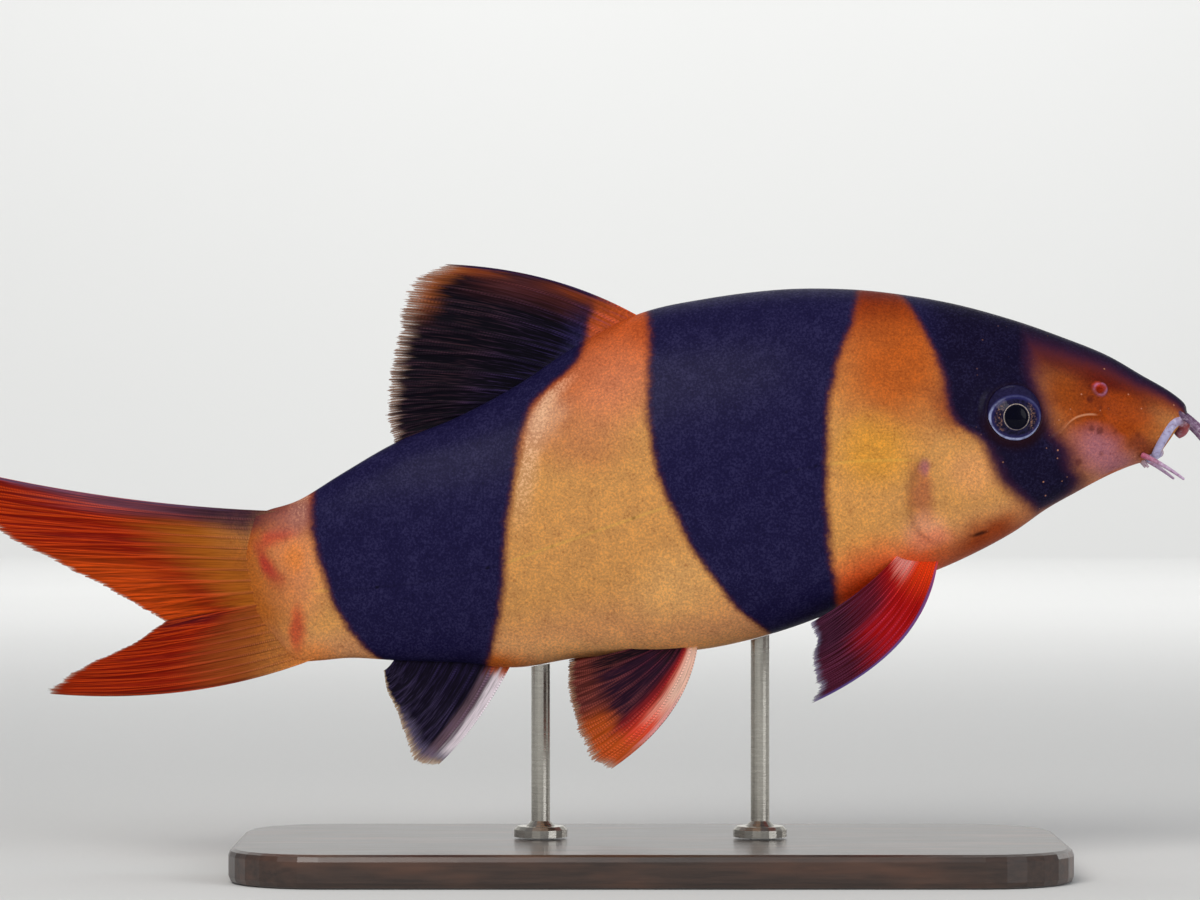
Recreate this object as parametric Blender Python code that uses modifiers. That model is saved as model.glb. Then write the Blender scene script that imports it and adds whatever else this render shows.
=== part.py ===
"""A clown loach, life size, held still above a plain display stand. Metres, +Z up, the fish looks along +X.

The fish is measured in millimetres in its own frame: x runs forward from the middle of the stand, z upward from the
belly line at the pelvic fins, and y is 0 in the fish's middle plane, with the right side at -y. An empty lifts that
frame to its height over the floor. The body is modelled whole and straight, parted with thin cuts, and at the end
every piece of the fish takes the same gentle swimming bend.
"""

import math

import bmesh
import bpy
import numpy as np
from mathutils import Matrix, Vector
from mathutils.bvhtree import BVHTree

MM = 0.001

# Driving dimensions, in millimetres
BELLY_HEIGHT = 33.0
GAP = 0.32
BODY_RINGS = 54
BODY_SIDES = 26

# The body from the mouth to the tail root. Each row is a slanted cross-section:
# back x, back z, belly x, belly z, half width, sharpness of the back, sharpness of the belly, egg shape
BODY = (
    (80.3, 36.0, 75.5, 28.9, 2.9, 0.80, 0.80, 0.00),
    (79.8, 37.4, 73.4, 28.4, 3.7, 0.85, 0.75, 0.02),
    (77.4, 39.3, 70.8, 27.5, 4.7, 0.90, 0.75, 0.06),
    (73.6, 41.5, 67.5, 26.0, 5.8, 0.95, 0.72, 0.10),
    (68.2, 44.6, 63.8, 24.0, 7.0, 0.95, 0.70, 0.12),
    (61.5, 47.3, 59.2, 21.4, 8.2, 0.95, 0.70, 0.12),
    (54.7, 49.7, 54.0, 17.8, 9.1, 0.95, 0.70, 0.12),
    (46.5, 52.0, 47.2, 14.2, 10.2, 1.00, 0.70, 0.12),
    (38.5, 53.5, 39.5, 11.0, 10.9, 1.00, 0.70, 0.12),
    (30.0, 54.4, 30.0, 7.1, 11.3, 1.00, 0.72, 0.12),
    (20.0, 54.4, 20.0, 3.3, 11.5, 1.00, 0.75, 0.11),
    (9.0, 53.1, 9.0, 0.6, 11.1, 1.05, 0.80, 0.10),
    (-1.5, 50.8, -1.5, -0.2, 10.4, 1.10, 0.85, 0.09),
    (-11.0, 46.0, -11.0, -0.9, 9.2, 1.15, 0.90, 0.08),
    (-20.0, 40.0, -20.0, -2.3, 7.8, 1.10, 0.95, 0.06),
    (-29.0, 35.2, -28.5, -1.6, 6.5, 1.00, 1.00, 0.04),
    (-38.0, 31.5, -37.5, -1.3, 5.2, 0.95, 0.95, 0.02),
    (-46.0, 26.9, -44.5, -0.9, 4.1, 0.90, 0.90, 0.00),
    (-52.5, 22.9, -49.5, -1.3, 3.1, 0.85, 0.85, 0.00),
    (-57.0, 21.4, -52.3, -1.4, 2.2, 0.85, 0.85, 0.00),
    (-59.3, 20.6, -54.0, -0.6, 1.5, 0.80, 0.80, 0.00),
)
MOUTH_HOLLOW = 1.6
TAIL_ROUNDING = 0.4

# The bend of the spine: how far the snout turns to the right side and the tail to the left
NECK_X = 30.0
SNOUT_SWAY = -1.8
SNOUT_REACH = 50.0
HIP_X = -20.0
TAIL_SWAY = 6.0
TAIL_REACH = 85.0

# The head
EYE_X = 53.9
EYE_Z = 35.9
EYE_RADIUS = 4.7
EYE_DEPTH = 3.1
EYE_PROUD = 1.5
ORBIT_RADIUS = 4.4
ORBIT_RIM = 0.5
NOSTRIL = (66.8, 39.7)
NOSTRIL_RIM = 0.75
NOSTRIL_PIT = 0.5
NOSTRIL_FLAP = 0.7
SPINE_GROOVE = ((59.0, 32.3), (60.8, 34.0), (62.3, 35.1), (65.4, 35.7))
GROOVE_RADIUS = 0.32
UPPER_LIP = ((74.6, 3.1, 29.3), (75.8, 3.5, 31.8), (77.2, 3.1, 34.0), (78.6, 1.8, 34.6), (79.0, 0.0, 34.0))
UPPER_LIP_RADIUS = 1.0
LOWER_LIP = ((74.0, 3.0, 28.8), (75.0, 2.4, 29.2), (75.9, 1.2, 29.8), (76.1, 0.0, 29.9))
LOWER_LIP_RADIUS = 0.75
GILL_COVER = (
    (41.0, 29.6),
    (39.1, 25.9),
    (38.6, 21.9),
    (39.6, 18.6),
    (42.6, 16.9),
    (46.6, 17.6),
    (50.4, 20.2),
    (51.9, 23.8),
    (50.8, 28.0),
    (47.8, 30.9),
    (44.0, 31.5),
)
GILL_COVER_DEPTH = 1.9
HEAD_EDGE = (
    (46.0, 60.0),
    (43.4, 46.0),
    (40.4, 33.5),
    (37.9, 26.5),
    (37.3, 21.0),
    (38.5, 17.0),
    (41.6, 15.0),
    (43.9, 12.6),
    (44.5, 5.0),
)
TAIL_STALK_X = -40.6

# Barbels, as root and tip on the right side (x, y, z) with root radius and how far the middle bows out and down
BARBELS = {
    "barbel_rostral_inner": ((78.6, 0.75, 36.6), (87.0, 1.9, 28.8), 0.55, (0.4, 0.2, 0.6)),
    "barbel_rostral_outer": ((78.0, 2.0, 36.4), (86.0, 5.2, 27.6), 0.55, (0.7, 0.6, 1.2)),
    "barbel_maxillary": ((73.2, 3.6, 29.6), (79.2, 6.6, 25.9), 0.58, (0.0, 0.6, 0.5)),
    "barbel_mandibular": ((73.6, 1.5, 29.2), (75.0, 2.2, 26.9), 0.42, (-0.2, 0.1, 0.0)),
}
BARBEL_TIP = 0.18

# Fins. Each has its root, the middle and the tips of its rays, front ray first, as x and z in the fish's side view.
# The widths are y at the front and at the hind ray.
FIN_RAY = 0.88
FIN_RAY_TIP = 0.62
FIN_WEB = 0.54
FIN_ROOT = 2.0
FIN_ROOT_SHARE = 0.14
FINS = {
    "dorsal_fin": {
        "rays": 10,
        "rows": 9,
        "root": ((0.8, 48.9), (-6.3, 45.9), (-12.9, 42.1), (-19.0, 37.7), (-23.8, 34.9)),
        "middle": ((-13.6, 57.9), (-18.3, 54.6), (-21.8, 50.6), (-24.8, 46.0), (-27.8, 41.1), (-30.4, 35.2)),
        "tips": ((-31.5, 57.9), (-36.0, 55.2), (-37.5, 51.0), (-38.1, 45.3), (-38.0, 39.0), (-37.4, 32.9)),
        "y": ((0.0, 0.0), (0.0, 0.0), (0.6, 0.0)),
        "notch": 0.035,
    },
    "caudal_fin_upper": {
        "rays": 9,
        "rows": 11,
        "root": ((-55.5, 20.3), (-54.6, 16.3), (-54.0, 12.0), (-53.6, 8.2)),
        "middle": ((-81.0, 22.7), (-78.8, 19.8), (-76.5, 16.8), (-72.8, 13.5), (-69.0, 10.1), (-65.1, 6.5)),
        "tips": ((-106.8, 28.2), (-104.5, 23.2), (-98.6, 17.8), (-91.5, 14.1), (-82.5, 9.6), (-73.2, 4.9)),
        "y": ((0.0, 0.0), (-0.4, 0.0), (-1.2, 0.3)),
        "notch": 0.03,
    },
    "caudal_fin_lower": {
        "rays": 8,
        "rows": 10,
        "root": ((-53.5, 7.6), (-52.4, 4.5), (-51.2, 1.5), (-50.2, -1.0)),
        "middle": ((-65.0, 5.6), (-69.0, 2.0), (-71.3, -0.9), (-71.7, -3.5), (-70.5, -6.0), (-69.0, -8.4)),
        "tips": ((-73.3, 4.1), (-78.3, 1.1), (-83.1, -1.2), (-87.0, -3.3), (-89.7, -5.3), (-91.2, -6.4)),
        "y": ((0.0, 0.0), (0.2, 0.8), (0.7, 3.4)),
        "notch": 0.03,
    },
    "anal_fin": {
        "rays": 8,
        "rows": 7,
        "root": ((-20.2, -0.6), (-26.0, 0.2), (-32.0, 0.6), (-37.4, 0.7)),
        "middle": ((-25.4, -11.2), (-28.2, -10.4), (-31.5, -9.0), (-34.3, -7.3), (-36.8, -5.1), (-38.8, -2.3)),
        "tips": ((-32.0, -17.1), (-35.2, -16.6), (-36.8, -13.2), (-38.0, -9.3), (-39.5, -6.0), (-40.0, -2.8)),
        "y": ((0.0, 0.0), (-0.2, 0.0), (-0.8, 0.0)),
        "notch": 0.06,
    },
    "pelvic_fin": {
        "rays": 8,
        "rows": 8,
        "root": ((7.2, 2.0), (5.6, 2.0), (4.0, 1.9), (2.6, 1.8)),
        "middle": ((6.0, -9.4), (2.7, -9.4), (-0.6, -8.1), (-3.0, -6.3), (-4.5, -4.4), (-5.0, -2.3)),
        "tips": ((-6.3, -17.3), (-8.8, -16.0), (-10.5, -12.6), (-11.8, -9.3), (-12.3, -6.2), (-11.4, -3.3)),
        "y": ((2.7, 2.5), (5.4, 3.8), (8.6, 5.4)),
        "notch": 0.05,
    },
    "pectoral_fin": {
        "rays": 12,
        "rows": 9,
        "root": ((42.9, 16.5), (42.0, 17.3), (40.6, 17.8), (39.0, 17.8)),
        "middle": ((42.6, 1.0), (39.4, 2.0), (36.2, 3.5), (34.1, 6.0), (33.5, 8.3), (34.3, 10.6)),
        "tips": ((22.6, -7.1), (24.6, -5.5), (23.7, -2.9), (23.4, -0.4), (24.6, 1.4), (23.2, 2.6), (23.4, 4.6)),
        "y": ((4.6, 7.4), (11.6, 10.0), (17.0, 12.2)),
        "notch": 0.035,
    },
}
PAIRED = ("pelvic_fin", "pectoral_fin")

# The stand
BASE_LENGTH = 124.0
BASE_DEPTH = 62.0
BASE_HEIGHT = 5.0
BASE_CORNER = 14.0
BASE_EDGE = 1.0
ROD_RADIUS = 1.4
ROD_X = {"stand_rod_front": 16.5, "stand_rod_rear": -16.4}
FOOT_RADIUS = 4.0
FOOT_HEIGHT = 1.6


def smooth(rows, at):
    """A smooth curve through evenly spaced rows, read at each share of its length in `at`."""
    rows = np.asarray(rows, float)
    place = np.clip(np.asarray(at, float), 0.0, 1.0) * (len(rows) - 1)
    first = np.minimum(place.astype(int), len(rows) - 2)
    f = (place - first)[..., None]
    padded = np.vstack([2 * rows[0] - rows[1], rows, 2 * rows[-1] - rows[-2]])
    a, b, c, d = (padded[first + k] for k in range(4))
    return 0.5 * (2 * b + (c - a) * f + (2 * a - 5 * b + 4 * c - d) * f**2 + (3 * b - a - 3 * c + d) * f**3)


def body_point(along, angle):
    """A point of the straight body: `along` runs from mouth to tail, `angle` from the back over the right side."""
    back_x, back_z, belly_x, belly_z, half, back_edge, belly_edge, egg = smooth(BODY, along)
    up = math.cos(angle)
    sharp = back_edge if up > 0 else belly_edge
    side = -math.copysign(abs(math.sin(angle)) ** sharp, math.sin(angle))
    middle = Vector(((back_x + belly_x) / 2, 0, (back_z + belly_z) / 2))
    reach = Vector(((back_x - belly_x) / 2, 0, (back_z - belly_z) / 2))
    return middle + reach * up + Vector((0, half * side * (1 - egg * up), 0))


def make_object(name, bm):
    """A bmesh in millimetres becomes an object in metres, with its faces turned outwards."""
    bmesh.ops.recalc_face_normals(bm, faces=bm.faces[:])
    bmesh.ops.scale(bm, vec=(MM, MM, MM), verts=bm.verts[:])
    mesh = bpy.data.meshes.new(name)
    bm.to_mesh(mesh)
    bm.free()
    obj = bpy.data.objects.new(name, mesh)
    bpy.context.scene.collection.objects.link(obj)
    return obj


def body_solid(name, grow=0.0, slimmer=0.0):
    """The whole body as one closed solid, grown along its normals or made slimmer from side to side."""
    bm = bmesh.new()
    bmesh.ops.create_uvsphere(bm, u_segments=BODY_SIDES, v_segments=BODY_RINGS, radius=1.0)
    for v in bm.verts:
        ring = round(math.acos(max(-1.0, min(1.0, v.co.z))) / math.pi * BODY_RINGS)
        if ring == 0:
            v.co = body_point(0.0, math.pi / 2)
            v.co.y = 0.0
            v.co += Vector((-1.0, 0.0, 0.7)).normalized() * MOUTH_HOLLOW
        elif ring == BODY_RINGS:
            v.co = body_point(1.0, math.pi / 2)
            v.co.y = 0.0
            v.co.x -= TAIL_ROUNDING
        else:
            v.co = body_point((ring - 1) / (BODY_RINGS - 2), math.atan2(v.co.y, v.co.x))
        v.co.y = math.copysign(max(abs(v.co.y) - slimmer, 0.25 * abs(v.co.y)), v.co.y)
    bmesh.ops.recalc_face_normals(bm, faces=bm.faces[:])
    bm.normal_update()
    for v in bm.verts:
        v.co += v.normal * grow
    return make_object(name, bm)


def bake(obj):
    """The object's modifiers are applied, and a curve becomes a mesh with its caps welded."""
    bpy.context.view_layer.update()
    graph = bpy.context.evaluated_depsgraph_get()
    mesh = bpy.data.meshes.new_from_object(obj.evaluated_get(graph))
    name = obj.name
    if obj.type != "MESH":
        made = bpy.data.objects.new(name, mesh)
        made.matrix_world = obj.matrix_world
        bpy.context.scene.collection.objects.link(made)
        bpy.data.objects.remove(obj)
        made.name = name
        obj = made
        bm = bmesh.new()
        bm.from_mesh(mesh)
        bmesh.ops.remove_doubles(bm, verts=bm.verts[:], dist=0.00001)
        bmesh.ops.recalc_face_normals(bm, faces=bm.faces[:])
        bm.to_mesh(mesh)
        bm.free()
    else:
        obj.modifiers.clear()
        obj.data = mesh
    return obj


def largest_shell(obj):
    """Keeps the largest closed surface of a mesh and drops any scrap or sealed hollow."""
    bm = bmesh.new()
    bm.from_mesh(obj.data)
    left = set(bm.verts)
    shells = []
    while left:
        front = [left.pop()]
        shell = set(front)
        while front:
            for edge in front.pop().link_edges:
                for v in edge.verts:
                    if v in left:
                        left.discard(v)
                        shell.add(v)
                        front.append(v)
        shells.append(shell)
    keep = max(shells, key=len)
    bmesh.ops.delete(bm, geom=[v for v in bm.verts if v not in keep], context="VERTS")
    bm.to_mesh(obj.data)
    bm.free()
    return obj


def boolean(obj, cutter, operation="DIFFERENCE", solver="EXACT"):
    """One applied Boolean. The cutter is kept for its next use."""
    modifier = obj.modifiers.new("cut", "BOOLEAN")
    modifier.operation = operation
    modifier.object = cutter
    modifier.solver = solver
    return largest_shell(bake(obj))


def carve(head, cutter):
    """Cuts one small pit or socket, with the solver that stays closed where a thin tube grazes the skin."""
    boolean(head, cutter, solver="MANIFOLD")
    remove(cutter)


def union(obj, pieces):
    """Joins a collection of closed pieces to obj with one Boolean, and removes them."""
    joined = bpy.data.collections.new(obj.name + "_pieces")
    bpy.context.scene.collection.children.link(joined)
    for piece in pieces:
        for old in piece.users_collection:
            old.objects.unlink(piece)
        joined.objects.link(piece)
    modifier = obj.modifiers.new("join", "BOOLEAN")
    modifier.operation = "UNION"
    modifier.operand_type = "COLLECTION"
    modifier.collection = joined
    modifier.solver = "EXACT"
    bake(obj)
    remove(*pieces)
    bpy.data.collections.remove(joined)
    return largest_shell(obj)


def remove(*objects):
    for obj in objects:
        bpy.data.objects.remove(obj)


def duplicate(obj, name):
    copy = bpy.data.objects.new(name, obj.data.copy())
    copy.matrix_world = obj.matrix_world
    bpy.context.scene.collection.objects.link(copy)
    return copy


def tube(name, points, radii, sides=2):
    """A round tube through the points, in millimetres, as a mesh with capped ends."""
    curve = bpy.data.curves.new(name, "CURVE")
    curve.dimensions = "3D"
    curve.bevel_depth = MM
    curve.bevel_resolution = sides
    curve.use_fill_caps = True
    spline = curve.splines.new("POLY")
    spline.points.add(len(points) - 1)
    for point, place, radius in zip(spline.points, points, radii):
        point.co = (*(Vector(place) * MM), 1.0)
        point.radius = radius
    obj = bpy.data.objects.new(name, curve)
    bpy.context.scene.collection.objects.link(obj)
    return bake(obj)


def prism(name, outline, depth, centre_y=0.0, rounded=True):
    """A closed side-view outline, extruded across the fish."""
    curve = bpy.data.curves.new(name, "CURVE")
    curve.dimensions = "2D"
    curve.fill_mode = "BOTH"
    curve.extrude = depth / 2 * MM
    spline = curve.splines.new("POLY")
    if rounded:
        closed = list(outline) + [outline[0]]
        outline = smooth(closed, np.linspace(0, 1, 3 * len(outline) + 1)[:-1])
    spline.points.add(len(outline) - 1)
    for point, (x, z) in zip(spline.points, outline):
        point.co = (x * MM, z * MM, 0.0, 1.0)
    spline.use_cyclic_u = True
    obj = bpy.data.objects.new(name, curve)
    obj.matrix_world = Matrix.Translation((0, centre_y * MM, 0)) @ Matrix.Rotation(math.pi / 2, 4, "X")
    bpy.context.scene.collection.objects.link(obj)
    bpy.context.view_layer.update()
    return bake(obj)


def ellipsoid(name, centre, axis, radius, depth, sides=20):
    """A ball flattened along its axis."""
    bm = bmesh.new()
    bmesh.ops.create_uvsphere(bm, u_segments=sides, v_segments=sides // 2, radius=1.0)
    bmesh.ops.scale(bm, vec=(radius, radius, depth), verts=bm.verts[:])
    turn = Vector((0, 0, 1)).rotation_difference(axis).to_matrix().to_4x4()
    bmesh.ops.transform(bm, matrix=Matrix.Translation(centre) @ turn, verts=bm.verts[:])
    return make_object(name, bm)


def ring_on(name, centre, axis, radius, thick, steps=20):
    """A round rim that lies flat on a surface."""
    bpy.ops.mesh.primitive_torus_add(
        major_radius=radius * MM,
        minor_radius=thick * MM,
        major_segments=steps,
        minor_segments=8,
        location=centre * MM,
        rotation=Vector((0, 0, 1)).rotation_difference(axis).to_euler(),
    )
    rim = bpy.context.object
    rim.name = name
    return rim


class Skin:
    """Reads places on the straight body's surface."""

    def __init__(self, body):
        bm = bmesh.new()
        bm.from_mesh(body.data)
        self.tree = BVHTree.FromBMesh(bm)
        bm.free()

    def side(self, x, z, sign):
        """The surface point beside (x, z) on one side, and the outward direction there, in millimetres."""
        start = Vector((x, sign * 60.0, z)) * MM
        place, normal, _, _ = self.tree.ray_cast(start, Vector((0, -sign, 0)))
        return place / MM, normal


def mirrored(point, sign):
    return Vector((point[0], sign * point[1], point[2]))


def lip_points(half_lip):
    """A lip from the left corner of the mouth round its front to the right corner."""
    left = [(x, y, z) for x, y, z in half_lip]
    right = [(x, -y, z) for x, y, z in reversed(half_lip[:-1])]
    return smooth(left + right, np.linspace(0, 1, 17))


def lip(name, half_lip, radius):
    points = lip_points(half_lip)
    swell = [radius * (0.62 + 0.38 * math.sin(math.pi * k / (len(points) - 1))) for k in range(len(points))]
    return tube(name, points, swell)


def barbel_points(root, tip, bow, sign):
    """A barbel's line: a simple curve that bows outward in its middle."""
    root, tip, bow = (mirrored(p, sign) for p in (root, tip, bow))
    middle = (root + tip) / 2 + bow
    steps = np.linspace(0, 1, 9)
    return [root * (1 - s) ** 2 + middle * 2 * s * (1 - s) + tip * s**2 for s in steps]


def make_barbels(head):
    """Four pairs of feelers, each with its root in a shallow socket of the head."""
    made = []
    for name, (root, tip, radius, bow) in BARBELS.items():
        for label, sign in (("right", -1), ("left", 1)):
            points = barbel_points(root, tip, bow, sign)
            taper = np.linspace(radius, BARBEL_TIP, len(points))
            carve(head, tube("socket", points, taper + GAP))
            made.append(tube(f"{name}_{label}", points, taper))
    return made


def make_eyes(head, skin):
    """The sockets are cut into the head and each eyeball is set into its own."""
    eyes = []
    for label, sign in (("right", -1), ("left", 1)):
        place, outward = skin.side(EYE_X, EYE_Z, sign)
        centre = place + outward * (EYE_PROUD - EYE_DEPTH)
        carve(head, ellipsoid("socket", centre, outward, EYE_RADIUS + GAP, EYE_DEPTH + GAP))
        eyes.append(ellipsoid(f"eye_{label}", centre, outward, EYE_RADIUS, EYE_DEPTH))
    return eyes


def add_head_relief(head, skin):
    """Lips, the rims of the eyes and nostrils, and then the pits and grooves."""
    pieces = [
        lip("upper_lip", UPPER_LIP, UPPER_LIP_RADIUS),
        lip("lower_lip", LOWER_LIP, LOWER_LIP_RADIUS),
    ]
    cutters = []
    for sign in (-1, 1):
        place, outward = skin.side(EYE_X, EYE_Z, sign)
        pieces.append(ring_on("orbit", place, outward, ORBIT_RADIUS, ORBIT_RIM))
        place, outward = skin.side(*NOSTRIL, sign)
        forward = outward.cross(Vector((1, 0, -0.4))).cross(outward).normalized()
        pieces.append(ring_on("nostril_rim", place, outward, NOSTRIL_RIM, 0.28, steps=12))
        flap_place = place + outward * 0.3 - forward * NOSTRIL_RIM
        pieces.append(ellipsoid("nostril_flap", flap_place, forward, NOSTRIL_FLAP, 0.25, sides=10))
        cutters.append(ellipsoid("nostril_pit", place, outward, NOSTRIL_PIT, 1.2, sides=10))
        groove = [skin.side(x, z, sign)[0] for x, z in smooth(SPINE_GROOVE, np.linspace(0, 1, 8))]
        cutters.append(tube("spine_groove", groove, [GROOVE_RADIUS] * len(groove), sides=1))
    union(head, pieces)
    for cutter in cutters:
        carve(head, cutter)


def part_gill_covers(head):
    """Cuts a plate out of each cheek, which leaves the slit of the gill opening round it."""
    plates = []
    core = body_solid("cheek_core", slimmer=GILL_COVER_DEPTH)
    deep_core = body_solid("deep_cheek_core", slimmer=GILL_COVER_DEPTH + GAP)
    middle = np.mean(GILL_COVER, axis=0)
    for label, sign in (("right", -1), ("left", 1)):
        wide = [middle + (np.array(p) - middle) * (1 + GAP / np.linalg.norm(p - middle)) for p in GILL_COVER]
        plate = boolean(duplicate(head, f"gill_cover_{label}"), prism("cut", GILL_COVER, 14.0, sign * 8.5), "INTERSECT")
        boolean(plate, core)
        pocket = boolean(prism("pocket", wide, 14.6, sign * 8.5), deep_core)
        boolean(head, pocket)
        remove(pocket, bpy.data.objects["cut"])
        plates.append(plate)
    remove(core, deep_core)
    return plates


def fin_point(fin, along, out, side=1):
    """A point of a fin's sheet: `along` from its front ray to its hind ray, `out` from root to tips."""
    weights = ((1 - out) ** 2, 2 * out * (1 - out), out**2)
    x = z = y = 0.0
    for name, ends, weight in zip(("root", "middle", "tips"), fin["y"], weights):
        place = smooth(fin[name], along)
        x += weight * place[0]
        z += weight * place[1]
        y += weight * (ends[0] * (1 - along) + ends[1] * along)
    return Vector((x, side * y, z))


def fin_thickness(ray_share, out):
    """How thick the fin is on a ray (1) or on the web between two (0), from its fleshy root outwards."""
    ray = FIN_RAY * (1 - out) + FIN_RAY_TIP * out
    blade = FIN_WEB + (ray - FIN_WEB) * ray_share
    flesh = max(0.0, 1 - out / FIN_ROOT_SHARE) ** 1.5
    return blade + (FIN_ROOT - blade) * flesh


def make_fin(name, fin, near_body, side=1):
    """A fin as one sheet with a raised ridge along every ray, cut to fit the body that it grows from."""
    columns = 2 * fin["rays"] - 2
    bm = bmesh.new()
    bmesh.ops.create_grid(bm, x_segments=columns, y_segments=fin["rows"], size=0.5)
    thickness = {}
    for v in bm.verts:
        column = round((v.co.x + 0.5) * columns)
        along = column / columns
        out = v.co.y + 0.5
        on_ray = 1 - column % 2
        thickness[v.index] = fin_thickness(on_ray, out) / FIN_ROOT
        v.co = fin_point(fin, along, out * (1 - (0 if on_ray else fin["notch"])), side)
    bmesh.ops.triangulate(bm, faces=bm.faces[:], quad_method="SHORT_EDGE")
    obj = make_object(name, bm)
    group = obj.vertex_groups.new(name="thickness")
    for index, share in thickness.items():
        group.add([index], share, "REPLACE")
    shell = obj.modifiers.new("blade", "SOLIDIFY")
    shell.thickness = FIN_ROOT * MM
    shell.offset = 0.0
    shell.vertex_group = group.name
    obj = bake(obj)
    obj.vertex_groups.clear()
    return boolean(obj, near_body)


def make_fins(near_body):
    made = []
    for name, fin in FINS.items():
        if name in PAIRED:
            made += [make_fin(f"{name}_{label}", fin, near_body, sign) for label, sign in (("right", -1), ("left", 1))]
        else:
            made.append(make_fin(name, fin, near_body))
    return made


def make_body():
    """Head, gill covers, trunk and tail stalk, parted from one body."""
    body = body_solid("body")
    skin = Skin(body)
    front = [(120.0, -20.0), (120.0, 80.0)]
    edge = [tuple(p) for p in smooth(HEAD_EDGE, np.linspace(0, 1, 25))]
    head_region = prism("head_region", front + edge, 60.0, rounded=False)
    behind_head = prism("behind_head", front + [(x - GAP, z) for x, z in edge], 60.0, rounded=False)
    tail_region = prism("tail_region", box_outline(-120.0, TAIL_STALK_X), 60.0, rounded=False)
    before_tail = prism("before_tail", box_outline(-120.0, TAIL_STALK_X + GAP), 60.0, rounded=False)
    head = boolean(duplicate(body, "head"), head_region, "INTERSECT")
    tail_stalk = boolean(duplicate(body, "tail_stalk"), tail_region, "INTERSECT")
    trunk = boolean(boolean(duplicate(body, "trunk"), behind_head), before_tail)
    remove(body, head_region, behind_head, tail_region, before_tail)
    plates = part_gill_covers(head)
    add_head_relief(head, skin)
    eyes = make_eyes(head, skin)
    return [head, trunk, tail_stalk, *plates, *eyes, *make_barbels(head)]


def box_outline(low_x, high_x):
    return [(low_x, -20.0), (high_x, -20.0), (high_x, 80.0), (low_x, 80.0)]


def bend(x):
    """How far the spine lies to the left of the middle plane."""
    if x > NECK_X:
        return SNOUT_SWAY * ((x - NECK_X) / SNOUT_REACH) ** 2
    if x < HIP_X:
        return TAIL_SWAY * ((HIP_X - x) / TAIL_REACH) ** 2
    return 0.0


def pose_fish(pieces):
    """Bends every piece of the fish alike and hangs it from one empty at its height."""
    fish = bpy.data.objects.new("fish", None)
    fish.location = (0, 0, BELLY_HEIGHT * MM)
    bpy.context.scene.collection.objects.link(fish)
    for piece in pieces:
        mesh = piece.data
        mesh.transform(piece.matrix_world)
        piece.matrix_world = Matrix.Identity(4)
        for v in mesh.vertices:
            v.co.y += bend(v.co.x / MM) * MM
        mesh.update()
        piece.parent = fish


def make_base():
    """A flat plate with round corners and a small bevel round its top and bottom."""
    bpy.ops.mesh.primitive_cube_add(size=1.0, location=(0, 0, BASE_HEIGHT / 2 * MM))
    base = bpy.context.object
    base.name = "stand_base"
    base.data.transform(Matrix.Diagonal((BASE_LENGTH * MM, BASE_DEPTH * MM, BASE_HEIGHT * MM, 1.0)))
    bm = bmesh.new()
    bm.from_mesh(base.data)
    upright = [e for e in bm.edges if abs(e.verts[0].co.z - e.verts[1].co.z) > MM]
    bmesh.ops.bevel(
        bm, geom=upright, offset=BASE_CORNER * MM, affect="EDGES", segments=7, profile=0.5, material=-1
    )
    level = [f for f in bm.faces if abs(f.normal.z) > 0.9]
    rims = list({e for f in level for e in f.edges})
    bmesh.ops.bevel(bm, geom=rims, offset=BASE_EDGE * MM, affect="EDGES", segments=2, profile=0.5, material=-1)
    bm.to_mesh(base.data)
    bm.free()
    return base


def make_rod(name, x, near_body):
    """A turned rod with a foot plate on the base, its top cut to the belly that it carries."""
    foot = BASE_HEIGHT + GAP
    top = BELLY_HEIGHT + 4.0
    outline = (
        (0.0, top),
        (ROD_RADIUS, top),
        (ROD_RADIUS, foot + FOOT_HEIGHT + 0.8),
        (ROD_RADIUS + 0.8, foot + FOOT_HEIGHT),
        (FOOT_RADIUS - 0.5, foot + FOOT_HEIGHT),
        (FOOT_RADIUS, foot + FOOT_HEIGHT - 0.5),
        (FOOT_RADIUS, foot),
        (0.0, foot),
    )
    mesh = bpy.data.meshes.new(name)
    edges = [(k, k + 1) for k in range(len(outline) - 1)]
    mesh.from_pydata([(r * MM, 0.0, z * MM) for r, z in outline], edges, [])
    rod = bpy.data.objects.new(name, mesh)
    bpy.context.scene.collection.objects.link(rod)
    turn = rod.modifiers.new("turn", "SCREW")
    turn.steps = turn.render_steps = 20
    turn.use_merge_vertices = True
    turn.merge_threshold = 0.00001
    bake(rod)
    rod.data.transform(Matrix.Translation((x * MM, 0, 0)))
    return boolean(rod, near_body)


def make_stand():
    belly = body_solid("belly_fit", grow=GAP)
    belly.data.transform(Matrix.Translation((0, 0, BELLY_HEIGHT * MM)))
    rods = [make_rod(name, x, belly) for name, x in ROD_X.items()]
    remove(belly)
    return [make_base(), *rods]


def material(name, colour, roughness, metallic=0.0):
    made = bpy.data.materials.new(name)
    made.use_nodes = True
    shader = made.node_tree.nodes["Principled BSDF"]
    shader.inputs["Base Color"].default_value = (*colour, 1.0)
    shader.inputs["Roughness"].default_value = roughness
    shader.inputs["Metallic"].default_value = metallic
    return made


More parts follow.
